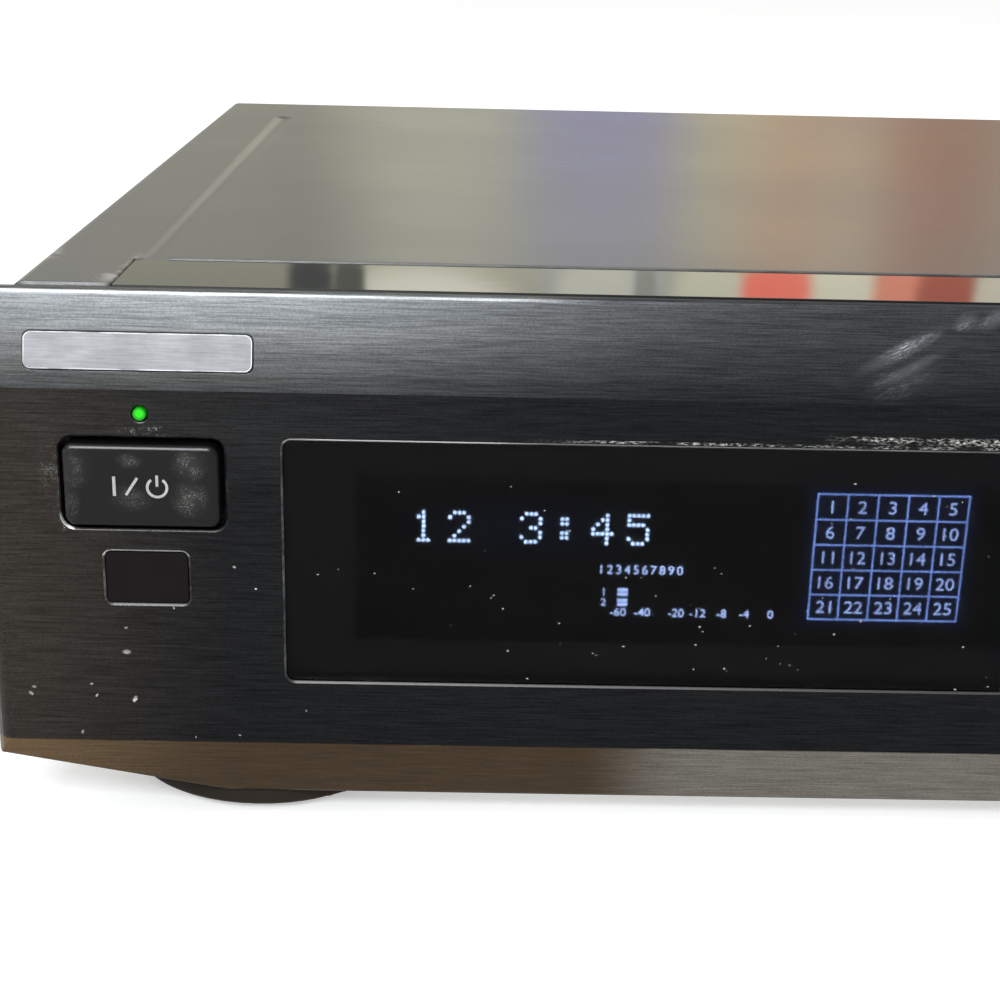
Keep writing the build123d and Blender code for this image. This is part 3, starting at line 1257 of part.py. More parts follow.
def make_board_chips():
    """Chips and ribbon sockets of the main board, placed by shares of its size."""
    chips = [
        (0.22, 0.41, 11.5 * CHIP_T, 11.5 * CHIP_T, CHIP_T),
        (0.39, 0.36, 8.5 * CHIP_T, 6 * CHIP_T, CHIP_T),
        (0.54, 0.55, 10 * CHIP_T, 10 * CHIP_T, CHIP_T),
        (0.69, 0.36, 6 * CHIP_T, 8.5 * CHIP_T, CHIP_T),
        (0.82, 0.68, 7.5 * CHIP_T, 4 * CHIP_T, CHIP_T),
        (0.22, 0.74, 4 * CHIP_T, 10 * CHIP_T, 3 * CHIP_T),
    ]
    parts = []
    for across, along, width, depth, height in chips:
        x = MAIN_X[0] + across * MAIN_W
        y = MAIN_Y[0] + along * (MAIN_Y[1] - MAIN_Y[0])
        parts.append(board_block(x, y, width, depth, height))
    for x in (SLOT_X, FRONT_CABLE_X):
        parts.append(board_block(x, RIBBON_SOCKET_Y, RIBBON_W + CONNECTOR_T, CONNECTOR_T, CONNECTOR_H))
    return parts


def board_block(x, y, width, depth, height):
    return block(
        (x - width / 2, x + width / 2), (y - depth / 2, y + depth / 2), (BOARD_TOP, BOARD_TOP + height)
    )


def make_power_board():
    return block(POWER_BOARD_X, POWER_BOARD_Y, (BOARD_TOP - BOARD_T, BOARD_TOP))


def make_capacitors():
    """Upright electrolytic capacitors on both boards, placed by shares of their size."""
    smoothing = ((0.23, 0.27, 1), (0.23, 0.52, 1), (0.45, 0.3, 0.72), (0.61, 0.3, 0.55), (0.77, 0.26, 0.55))
    boards = (
        (POWER_BOARD_X, POWER_BOARD_Y, smoothing),
        (MAIN_X, MAIN_Y, ((0.89, 0.24, 0.55), (0.83, 0.24, 0.55))),
    )
    cans = []
    for board_x, board_y, places in boards:
        for across, along, scale in places:
            x = board_x[0] + across * (board_x[1] - board_x[0])
            y = board_y[0] + along * (board_y[1] - board_y[0])
            can = along_z(Circle(CAN_R * scale), x, y, (BOARD_TOP, BOARD_TOP + CAN_H * scale))
            cans.append(fillet(can.edges().sort_by(Axis.Z)[-1], CAN_ROUND))
    return cans


def make_heatsink():
    x0 = POWER_BOARD_X[0] + SINK_SHARE * POWER_BOARD_W
    y0 = POWER_BOARD_Y[1] - SINK_REAR
    sink = block((x0, x0 + SINK_W), (y0, y0 + SINK_T), (BOARD_TOP, BOARD_TOP + SINK_H))
    for index in range(SINK_FINS):
        x = x0 + (SINK_W - SINK_T / 2) * index / (SINK_FINS - 1)
        sink += block((x, x + SINK_T / 2), (y0, y0 + SINK_T + SINK_FIN), (BOARD_TOP, BOARD_TOP + SINK_H))
    return sink


def make_transformer():
    """Laminated core on its bracket, with the coil through its two windows."""
    x = (CORE_X - CORE_W / 2, CORE_X + CORE_W / 2)
    y = (CORE_Y - CORE_D / 2, CORE_Y + CORE_D / 2)
    core = block(x, y, (BASE_TOP + CORE_TAB_T, BASE_TOP + CORE_TAB_T + CORE_H))
    window_z = BASE_TOP + CORE_TAB_T + (CORE_H - COIL_H) / 2
    coil_y = (CORE_Y - COIL_D / 2, CORE_Y + COIL_D / 2)
    coil_x = (CORE_X - COIL_W / 2, CORE_X + COIL_W / 2)
    coil = block(coil_x, coil_y, (window_z, window_z + COIL_H))
    coil = fillet(coil.edges().filter_by(Axis.Z), 6)
    tongue = block((CORE_X - COIL_W / 4, CORE_X + COIL_W / 4), y, (window_z - 1, window_z + COIL_H + 1))
    for side in (-1, 1):
        window = sorted((CORE_X + side * COIL_W / 4, CORE_X + side * COIL_W / 2))
        core -= block(window, (y[0] - 1, y[1] + 1), (window_z, window_z + COIL_H))
    tabs = block((x[0] - CORE_TAB, x[1] + CORE_TAB), y, (BASE_TOP, BASE_TOP + CORE_TAB_T))
    return [core + tabs, coil - tongue]


def make_ribbons():
    """Two flat cables, each from a socket on the main board."""
    half = RIBBON_W / 2
    top = BOARD_TOP + CONNECTOR_H
    socket_y = RIBBON_SOCKET_Y
    drop = MECH_UNDER - RIBBON_T
    over = top + 6
    mech = [
        (MECH_REAR - 16, drop, MECH_REAR - 4, MECH_UNDER),
        (MECH_REAR - 4 - RIBBON_T, over, MECH_REAR - 4, MECH_UNDER),
        (MECH_REAR - 4, over, socket_y + RIBBON_T, over + RIBBON_T),
        (socket_y, top, socket_y + RIBBON_T, over),
    ]
    front = [
        (BOARD_Y + BOARD_T, 2 * BASE_TOP, BOARD_Y + BOARD_T + RIBBON_T, 3 * BASE_TOP),
        (BOARD_Y + BOARD_T, 2 * BASE_TOP, FRAME_REAR + 4, 2 * BASE_TOP + RIBBON_T),
        (FRAME_REAR + 4 - RIBBON_T, BASE_TOP, FRAME_REAR + 4, 2 * BASE_TOP),
        (FRAME_REAR + 4 - RIBBON_T, BASE_TOP, MAIN_Y[0] - 4, BASE_TOP + RIBBON_T),
        (MAIN_Y[0] - 4, BASE_TOP, MAIN_Y[0] - 4 + RIBBON_T, over),
        (MAIN_Y[0] - 4, over - RIBBON_T, socket_y + RIBBON_T, over),
        (socket_y, top, socket_y + RIBBON_T, over),
    ]
    cables = []
    for x, runs in ((SLOT_X, mech), (FRONT_CABLE_X, front)):
        cable = None
        for y0, z0, y1, z1 in runs:
            run = block((x - half, x + half), (y0, y1), (z0, z1))
            cable = run if cable is None else cable + run
        cables.append(cable)
    return cables


def make_phono_jacks():
    half = PHONO_MARGIN
    x = (PHONO_X[0] - half, PHONO_X[-1] + half)
    z = (PHONO_Z[0] - half, PHONO_Z[-1] + half)
    parts = [block(x, (REAR_FRONT - PHONO_BLOCK_T, REAR_FRONT), z)]
    parts.append(
        block((x[0] + 4, x[1] - 4), (REAR_FRONT - PHONO_BLOCK_T, REAR_FRONT - 2), (BOARD_TOP, z[0]))
    )
    end = COVER_REAR + JACK_PROUD
    for px in PHONO_X:
        for pz in PHONO_Z:
            shell = along_y(Circle(PHONO_R), px, pz, (REAR_FRONT, end))
            shell += along_y(Circle(PHONO_COLLAR_R), px, pz, (REAR_BACK, REAR_BACK + PHONO_COLLAR_T))
            shell = chamfer(shell.edges().group_by(Axis.Y)[-1], 0.4)
            parts.append(shell - along_y(Circle(PHONO_BORE_R), px, pz, (REAR_BACK, end + 1)))
    return parts


def make_optical_jacks():
    jacks = []
    for x in OPTICAL_X:
        end = REAR_BACK + OPTICAL_PROUD
        outline = Rectangle(OPTICAL_W, OPTICAL_H)
        jack = along_y(outline, x, OPTICAL_Z, (REAR_FRONT - OPTICAL_BODY, end))
        rim = Rectangle(OPTICAL_W + 3, OPTICAL_H + 3)
        jack += along_y(rim, x, OPTICAL_Z, (REAR_FRONT - 2, REAR_FRONT))
        jack += block(
            (x - OPTICAL_W / 2 + 2, x + OPTICAL_W / 2 - 2),
            (REAR_FRONT - OPTICAL_BODY, REAR_FRONT - 3),
            (BOARD_TOP, OPTICAL_Z - OPTICAL_H / 2),
        )
        socket = RectangleRounded(OPTICAL_SOCKET, OPTICAL_SOCKET, 0.8)
        jacks.append(jack - along_y(socket, x, OPTICAL_Z, (end - OPTICAL_DEPTH, end + 1)))
    return jacks


def inlet_outline(growth):
    """Figure-of-eight mouth of the mains inlet, grown evenly."""
    return SlotCenterToCenter(INLET_PIN_SPACING - 2, INLET_SOCKET_H + 2 * growth)


def make_inlet():
    end = REAR_BACK + INLET_FLANGE_T
    inlet = along_y(inlet_outline(INLET_WALL), INLET_X, INLET_Z, (REAR_BACK - INLET_BODY, end))
    flange = RectangleRounded(INLET_FLANGE_W, INLET_SOCKET_H + 4 * INLET_WALL, 2)
    inlet += along_y(flange, INLET_X, INLET_Z, (REAR_BACK, end))
    inlet -= along_y(inlet_outline(0), INLET_X, INLET_Z, (end - INLET_DEPTH, end + 1))
    for side in (-1, 1):
        x = INLET_X + side * INLET_PIN_SPACING / 2
        pin = (end - INLET_DEPTH - 1, end - INLET_DEPTH + INLET_PIN_L)
        inlet += along_y(Circle(INLET_PIN_R), x, INLET_Z, pin)
        screw = INLET_X + side * (INLET_FLANGE_W / 2 - 4)
        inlet -= along_y(Circle(SCREW_R), screw, INLET_Z, (REAR_BACK - 1, end + 1))
    return inlet


def main():
    os.makedirs("parts", exist_ok=True)
    save("fascia", make_fascia())
    save("front_frame", make_front_frame())
    save("window_panel", make_window())
    save("badge_plate", make_badge())
    save("remote_sensor_window", make_sensor_window())
    save("power_led", make_power_led())
    save("top_cover", make_cover())
    save("chassis_base", make_base())
    save("rear_panel", make_rear_panel())
    save("case_screws", *make_screws())
    feet, pads = make_feet()
    save("feet", *feet)
    save("foot_pads", *pads)

    save("power_button", make_power_button())
    save("slot_flap", make_flap())
    for name, place in KEYS.items():
        save(name, make_key(*place))
    shaft, rotor, housing = make_jog_parts()
    save("jog_knob", make_jog_knob())
    save("jog_shaft", shaft)
    save("jog_rotor", rotor)
    save("jog_encoder", housing)
    save("rec_level_knob", make_level_knob(REC_X, REC_Z, REC_R, REC_PROUD))
    save("rec_level_shaft", make_level_shaft(REC_X, REC_Z, REC_PROUD))
    save("phones_level_knob", make_level_knob(PHONES_KNOB_X, PHONES_Z, PHONES_KNOB_R, PHONES_KNOB_PROUD))
    save("phones_level_shaft", make_level_shaft(PHONES_KNOB_X, PHONES_Z, PHONES_KNOB_PROUD))
    save("level_pots", *make_pots())
    save("phones_jack", make_phones_jack())
    timer_knob, timer_switch = make_timer_parts()
    save("timer_knob", timer_knob)
    save("timer_switch", timer_switch)
    save("front_board", make_front_board())
    save("front_board_parts", *make_front_board_parts())
    save("display_tube", make_display_tube())

    save("mech_bracket", *make_mech_bracket())
    save("mech_chassis", make_mech_chassis())
    save("mech_dampers", *make_dampers())
    save("cartridge_holder", make_holder())
    save("loading_slider", make_slider())
    save("loading_gear", make_gear())
    save("loading_motor", make_loading_motor())
    save("turntable", make_turntable())
    save("spindle_motor", make_spindle_motor())
    save("guide_rods", *make_rods())
    save("optical_pickup", make_pickup())
    save("head_arm", make_head_arm())
    save("lead_screw", make_lead_screw())
    save("sled_motor", make_sled_motor())

    save("main_board", make_main_board())
    save("board_chips", *make_board_chips())
    save("power_board", make_power_board())
    save("capacitors", *make_capacitors())
    save("heatsink", make_heatsink())
    save("transformer", *make_transformer())
    save("ribbon_cables", *make_ribbons())
    save("phono_jacks", *make_phono_jacks())
    save("optical_jacks", *make_optical_jacks())
    save("ac_inlet", make_inlet())


main()
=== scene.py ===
"""Looks for a minidisc deck: its finishes, its lit display, printed marks, camera and studio.

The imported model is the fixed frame. Lengths are in metres, x to the right, y to the back, z up.
"""

import math
import random

import bmesh
import bpy
from mathutils import Matrix, Vector
from mathutils.bvhtree import BVHTree


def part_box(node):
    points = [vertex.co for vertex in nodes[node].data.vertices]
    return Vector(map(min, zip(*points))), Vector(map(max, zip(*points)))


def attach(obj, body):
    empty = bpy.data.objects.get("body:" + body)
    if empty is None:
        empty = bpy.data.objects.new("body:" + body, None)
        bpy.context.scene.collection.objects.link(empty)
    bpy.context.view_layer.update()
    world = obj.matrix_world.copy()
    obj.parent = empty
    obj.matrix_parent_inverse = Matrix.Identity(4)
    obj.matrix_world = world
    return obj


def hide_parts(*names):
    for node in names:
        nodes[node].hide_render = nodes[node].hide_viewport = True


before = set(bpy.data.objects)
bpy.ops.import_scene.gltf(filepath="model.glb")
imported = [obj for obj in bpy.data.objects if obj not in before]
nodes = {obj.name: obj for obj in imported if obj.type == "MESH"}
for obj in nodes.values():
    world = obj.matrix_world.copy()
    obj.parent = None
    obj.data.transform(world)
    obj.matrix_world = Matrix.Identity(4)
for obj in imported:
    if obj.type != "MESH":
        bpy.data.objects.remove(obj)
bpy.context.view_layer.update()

MM = 0.001


def mm(x, y, z):
    """A place or a size given in millimetres."""
    return (x * MM, y * MM, z * MM)


# Places on the deck that the display and the marks follow

FACE_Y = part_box("fascia")[0].y
TUBE_LOW, TUBE_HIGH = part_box("display_tube")

# Shader graph helpers


def fill(tree, socket, value):
    """Gives a socket a number or colour, or links another node's output to it."""
    if isinstance(value, bpy.types.NodeSocket):
        tree.links.new(value, socket)
    elif hasattr(socket.default_value, "__len__") and not hasattr(value, "__len__"):
        socket.default_value = [value] * len(socket.default_value)
    elif socket.type == "RGBA" and len(value) == 3:
        socket.default_value = (*value, 1.0)
    else:
        socket.default_value = value


def add(tree, kind, inputs=None, **settings):
    """Adds one shader node, with its settings and its inputs by name or place."""
    node = tree.nodes.new("ShaderNode" + kind)
    for name, value in settings.items():
        setattr(node, name, value)
    for key, value in (inputs or {}).items():
        fill(tree, node.inputs[key], value)
    return node


def maths(tree, operation, *terms):
    """One sum on numbers; the result's socket."""
    return add(tree, "Math", dict(enumerate(terms)), operation=operation).outputs[0]


def vector_maths(tree, operation, *terms):
    """One sum on vectors; the result's socket, a number for a length or a dot product."""
    result = "Value" if operation in ("LENGTH", "DOT_PRODUCT") else "Vector"
    return add(tree, "VectorMath", dict(enumerate(terms)), operation=operation).outputs[result]


def remap(tree, value, low, high, to_low=0.0, to_high=1.0):
    """Spreads low..high over to_low..to_high with soft ends."""
    inputs = {0: value, 1: low, 2: high, 3: to_low, 4: to_high}
    return add(tree, "MapRange", inputs, interpolation_type="SMOOTHSTEP").outputs[0]


def mix_colour(tree, mask, below, above, way="MIX"):
    """Lays one colour over another where the mask is 1."""
    inputs = {0: mask, 6: below, 7: above}
    return add(tree, "Mix", inputs, data_type="RGBA", blend_type=way).outputs[2]


def turn_about_y(tree, vector, angle):
    """A vector turned about the y axis; the result's socket."""
    inputs = {"Vector": vector, "Axis": (0.0, 1.0, 0.0), "Angle": angle}
    return add(tree, "VectorRotate", inputs).outputs[0]


def noise(tree, position, scale, detail=2.0, roughness=0.5):
    """Blender's noise at a position, from 0 to 1; the result's socket."""
    inputs = {"Vector": position, "Scale": scale, "Detail": detail, "Roughness": roughness}
    return add(tree, "TexNoise", inputs).outputs[0]


# Effects that several finishes share, each a node group

NUMBER, PLACE = "NodeSocketFloat", "NodeSocketVector"
GROUPS = {}


def shared(name, numbers, outputs=("Mask",), places=()):
    """Makes the function under it into a node group with a Position and these other sockets.

    The function links up the group's nodes and returns the socket of each output.
    """

    def build(link_up):
        tree = bpy.data.node_groups.new(name, "ShaderNodeTree")
        for label in ("Position", *places):
            tree.interface.new_socket(label, in_out="INPUT", socket_type=PLACE)
        for label, value in numbers.items():
            socket = tree.interface.new_socket(label, in_out="INPUT", socket_type=NUMBER)
            socket.default_value = value
        for label in outputs:
            tree.interface.new_socket(label, in_out="OUTPUT", socket_type=NUMBER)
        given = tree.nodes.new("NodeGroupInput").outputs
        result = tree.nodes.new("NodeGroupOutput").inputs
        for label, socket in zip(outputs, link_up(tree, given)):
            tree.links.new(socket, result[label])
        GROUPS[name] = tree
        return link_up

    return build


@shared("brushed_lines", {"Lines per metre": 2600.0, "Breaks per metre": 55.0}, ["Lines", "Bands"])
def brushed_lines(tree, given):
    """Fine lines drawn along x, as an abrasive belt leaves on sheet metal."""
    lines, breaks = given["Lines per metre"], given["Breaks per metre"]
    stretch = add(tree, "CombineXYZ", {0: breaks, 1: lines, 2: lines}).outputs[0]
    position = vector_maths(tree, "MULTIPLY", given["Position"], stretch)
    fine = noise(tree, position, 1.0, 3.0, 0.7)
    broad = noise(tree, position, 0.13, 1.0)
    return remap(tree, fine, 0.3, 0.7), remap(tree, broad, 0.3, 0.7)


@shared("pebbled_skin", {"Pebbles per metre": 2200.0}, ["Height", "Mottle"])
def pebbled_skin(tree, given):
    """A fine even pebble, as textured paint or moulded plastic has."""
    position, scale = given["Position"], given["Pebbles per metre"]
    cells = add(tree, "TexVoronoi", {"Vector": position, "Scale": scale}, feature="SMOOTH_F1")
    grain = noise(tree, position, scale, 2.0, 0.6)
    height = maths(tree, "MULTIPLY_ADD", cells.outputs["Distance"], 0.6, grain)
    return height, remap(tree, grain, 0.35, 0.65)


@shared("cloudy", {"Clouds per metre": 18.0}, ["Cloud"])
def cloudy(tree, given):
    """Broad uneven patches, such as handling leaves in a finish."""
    cloud = noise(tree, given["Position"], given["Clouds per metre"], 3.0, 0.55)
    return [remap(tree, cloud, 0.35, 0.68)]


@shared("dust_specks", {"Specks per metre": 110.0, "Size": 0.05, "Share": 0.5})
def dust_specks(tree, given):
    """Small pale specks, a few in each square centimetre, of uneven size."""
    inputs = {"Vector": given["Position"], "Scale": given["Specks per metre"]}
    cells = add(tree, "TexVoronoi", inputs).outputs
    lottery = add(tree, "SeparateColor", {0: cells["Color"]}).outputs
    chosen = maths(tree, "LESS_THAN", lottery[0], given["Share"])
    size = maths(tree, "MULTIPLY", given["Size"], maths(tree, "ADD", lottery[1], 0.25))
    speck = remap(tree, maths(tree, "DIVIDE", cells["Distance"], size), 1.0, 0.6)
    return [maths(tree, "MULTIPLY", speck, chosen)]


@shared(
    "powder",
    {
        "Grains per metre": 2600.0, "Patches per metre": 260.0, "Turn": 0.0, "Drag": 1.0,
        "Softness": 0.11, "Fullness": 0.0,
    },
)
def powder(tree, given):
    """Fine grains gathered in patches, as dust and scuffing lie; slanted if it is turned."""
    turned = turn_about_y(tree, given["Position"], given["Turn"])
    drag = maths(tree, "DIVIDE", 1.0, given["Drag"])
    stretch = add(tree, "CombineXYZ", {0: drag, 1: 1.0, 2: 1.0}).outputs[0]
    dragged = vector_maths(tree, "MULTIPLY", turned, stretch)
    middle = 0.57
    sharpest = maths(tree, "SUBTRACT", middle, given["Softness"])
    fullest = maths(tree, "ADD", middle, given["Softness"])
    grain = noise(tree, dragged, given["Grains per metre"], 2.0, 0.7)
    patch = noise(tree, dragged, given["Patches per metre"], 2.0, 0.55)
    patches = remap(tree, maths(tree, "ADD", patch, given["Fullness"]), 0.42, 0.68)
    return [maths(tree, "MULTIPLY", remap(tree, grain, sharpest, fullest), patches)]


@shared("soft_spot", {"Core": 0.3, "Turn": 0.0}, places=["Centre", "Reach"])
def soft_spot(tree, given):
    """1 at a centre, fading to 0 at the reach along each axis, turned about y."""
    offset = vector_maths(tree, "SUBTRACT", given["Position"], given["Centre"])
    turned = turn_about_y(tree, offset, given["Turn"])
    distance = vector_maths(tree, "LENGTH", vector_maths(tree, "DIVIDE", turned, given["Reach"]))
    return [remap(tree, distance, 1.0, given["Core"])]


@shared("soft_box", {"Core": 0.9}, places=["Centre", "Reach"])
def soft_box(tree, given):
    """1 inside a box about a centre, fading to 0 at the reach along each axis."""
    offset = vector_maths(tree, "SUBTRACT", given["Position"], given["Centre"])
    share = vector_maths(tree, "ABSOLUTE", vector_maths(tree, "DIVIDE", offset, given["Reach"]))
    axes = add(tree, "SeparateXYZ", {0: share}).outputs
    farthest = maths(tree, "MAXIMUM", maths(tree, "MAXIMUM", axes[0], axes[1]), axes[2])
    return [remap(tree, farthest, 1.0, given["Core"])]


@shared("ring_about_y", {"Inner": 0.003, "Outer": 0.004}, places=["Centre"])
def ring_about_y(tree, given):
    """A flat ring about an axis along y, at a centre."""
    offset = vector_maths(tree, "SUBTRACT", given["Position"], given["Centre"])
    flat = vector_maths(tree, "MULTIPLY", offset, (1.0, 0.0, 1.0))
    radius = vector_maths(tree, "LENGTH", flat)
    inside = maths(tree, "LESS_THAN", radius, given["Outer"])
    outside = maths(tree, "GREATER_THAN", radius, given["Inner"])
    return [maths(tree, "MULTIPLY", inside, outside)]


@shared("worn_edges", {"Radius": 0.0006, "Amount": 0.5, "Patches per metre": 220.0})
def worn_edges(tree, given):
    """The outer edges of a piece, broken up as rubbing leaves them."""
    rounded = add(tree, "Bevel", {"Radius": given["Radius"]}, samples=4).outputs[0]
    surface = add(tree, "NewGeometry").outputs["Normal"]
    edge = remap(tree, vector_maths(tree, "DOT_PRODUCT", rounded, surface), 0.985, 0.80)
    patches = noise(tree, given["Position"], given["Patches per metre"], 3.0, 0.6)
    broken = remap(tree, patches, 0.66, 0.40)
    return [maths(tree, "MULTIPLY", maths(tree, "MULTIPLY", edge, broken), given["Amount"])]


class Finish:
    """One material as it is made up: its colour, roughness and height are built in layers."""

    def __init__(self, name, colour, roughness, **shader_values):
        self.material = bpy.data.materials.new(name)
        self.material.use_nodes = True
        self.tree = self.material.node_tree
        self.shader = self.tree.nodes["Principled BSDF"]
        self.position = add(self.tree, "TexCoord").outputs["Object"]
        self.colour = colour
        self.roughness = roughness
        self.height = None
        self.edge_radius = 0.0
        for label, value in shader_values.items():
            fill(self.tree, self.shader.inputs[label.replace("_", " ")], value)

    def effect(self, group, **values):
        """Places a shared effect; its outputs by name."""
        node = self.tree.nodes.new("ShaderNodeGroup")
        node.node_tree = GROUPS[group]
        self.tree.links.new(self.position, node.inputs["Position"])
        for label, value in values.items():
            fill(self.tree, node.inputs[label.replace("_", " ")], value)
        return node.outputs

    def spot(self, centre, reach, core, turn=0.0):
        """The mask of a soft spot, 1 inside its core."""
        return self.effect("soft_spot", Centre=centre, Reach=reach, Core=core, Turn=turn)["Mask"]

    def box(self, centre, reach, core):
        """The mask of a soft-sided box, 1 inside its core."""
        return self.effect("soft_box", Centre=centre, Reach=reach, Core=core)["Mask"]

    def ring(self, centre, inner, outer):
        """The mask of a ring about an axis along y."""
        return self.effect("ring_about_y", Centre=centre, Inner=inner, Outer=outer)["Mask"]

    def cloud(self, per_metre):
        """The mask of broad uneven patches."""
        return self.effect("cloudy", Clouds_per_metre=per_metre)["Cloud"]

    def powder(self, grains, patches, **values):
        """The mask of fine grains gathered in patches, both counted per metre."""
        return self.effect(
            "powder", Grains_per_metre=grains, Patches_per_metre=patches, **values
        )["Mask"]

    def specks(self, per_metre, size, share):
        """The mask of round specks: size is in cells, share is how many cells hold one."""
        placed = self.effect("dust_specks", Specks_per_metre=per_metre, Size=size, Share=share)
        return placed["Mask"]

    def waves(self, scale, direction, distortion=0.0):
        """Even bands across an axis, from 0 to 1."""
        inputs = {"Vector": self.position, "Scale": scale, "Distortion": distortion}
        return add(self.tree, "TexWave", inputs, bands_direction=direction).outputs["Fac"]

    def times(self, *masks):
        """Masks multiplied together."""
        result = masks[0]
        for mask in masks[1:]:
            result = maths(self.tree, "MULTIPLY", result, mask)
        return result

    def lay(self, mask, colour, roughness=None):
        """A colour, and if given a roughness, laid over the finish where the mask is 1."""
        self.colour = mix_colour(self.tree, mask, self.colour, colour)
        if roughness is not None:
            self.roughen(mask, roughness)
        return self

    def lay_at(self, places, mask, colour, roughness, core=0.1, turn=0.0, boxed=False):
        """Lays a colour where the mask shows near some places: centre, reach, strength."""
        for centre, reach, strength in places:
            near = self.box(centre, reach, core) if boxed else self.spot(centre, reach, core, turn)
            self.lay(self.times(near, mask, strength), colour, roughness)
        return self

    def shade(self, mask, low, high):
        """The colour so far times low where the mask is 0 and high where it is 1."""
        factor = add(self.tree, "MapRange", {0: mask, 3: low, 4: high}).outputs[0]
        grey = add(self.tree, "CombineColor", {0: factor, 1: factor, 2: factor}).outputs[0]
        self.colour = mix_colour(self.tree, 1.0, self.colour, grey, "MULTIPLY")
        return self

    def roughen(self, mask, value):
        """The roughness goes to a value where the mask is 1."""
        self.roughness = add(
            self.tree, "Mix", {0: mask, 2: self.roughness, 3: value}, data_type="FLOAT"
        ).outputs[0]
        return self

    def lift(self, height, depth):
        """Adds relief; depth is in metres where the height goes from 0 to 1."""
        raised = maths(self.tree, "MULTIPLY", height, depth)
        if self.height is not None:
            raised = maths(self.tree, "ADD", self.height, raised)
        self.height = raised
        return self

    def pebble(self, per_metre, depth=0.0, low=1.0, high=1.0):
        """A fine pebble, in relief and darker in its hollows."""
        pebble = self.effect("pebbled_skin", Pebbles_per_metre=per_metre)
        if depth:
            self.lift(pebble["Height"], depth)
        if low != high:
            self.shade(pebble["Mottle"], low, high)
        return self

    def brush(self, lines, breaks, depth, low, high):
        """Drawn lines, in relief and shaded; the outputs of the effect."""
        drawn = self.effect("brushed_lines", Lines_per_metre=lines, Breaks_per_metre=breaks)
        self.shade(drawn["Lines"], low, high)
        self.lift(drawn["Lines"], depth)
        return drawn

    def mottle(self, per_metre, low, high, weight=0.0, roughness=0.0):
        """Broad patches of another shade and, with a weight, of another roughness."""
        cloud = self.cloud(per_metre)
        self.shade(cloud, low, high)
        if weight:
            self.roughen(self.times(cloud, weight), roughness)
        return self

    def dust(self, specks, weight, colour, roughness):
        """Specks of dust; specks is their count per metre, their size and their share."""
        return self.lay(self.times(self.specks(*specks), weight), colour, roughness)

    def wear(self, radius, amount, per_metre, colour, roughness=None):
        """The outer edges rubbed to another colour."""
        edges = self.effect("worn_edges", Radius=radius, Amount=amount, Patches_per_metre=per_metre)
        return self.lay(edges["Mask"], colour, roughness)

    def give_light(self, colour, strength):
        """Makes the finish give light."""
        fill(self.tree, self.shader.inputs["Emission Color"], colour)
        self.shader.inputs["Emission Strength"].default_value = strength
        return self

    def done(self):
        """Joins the layers to the shader; the finished material."""
        fill(self.tree, self.shader.inputs["Base Color"], self.colour)
        fill(self.tree, self.shader.inputs["Roughness"], self.roughness)
        if self.height is not None:
            bump = add(self.tree, "Bump", {"Height": self.height, "Distance": 1.0})
            if self.edge_radius:
                rounded = add(self.tree, "Bevel", {"Radius": self.edge_radius}, samples=6)
                self.tree.links.new(rounded.outputs[0], bump.inputs["Normal"])
            self.tree.links.new(bump.outputs[0], self.shader.inputs["Normal"])
        return self.material


# Relief of a fine pebble and of drawn lines, and the width of a thin worn edge
FINE_RELIEF, DRAWN_RELIEF, THIN_EDGE = 0.004 * MM, 0.0015 * MM, 0.4 * MM

# Finishes of the outside


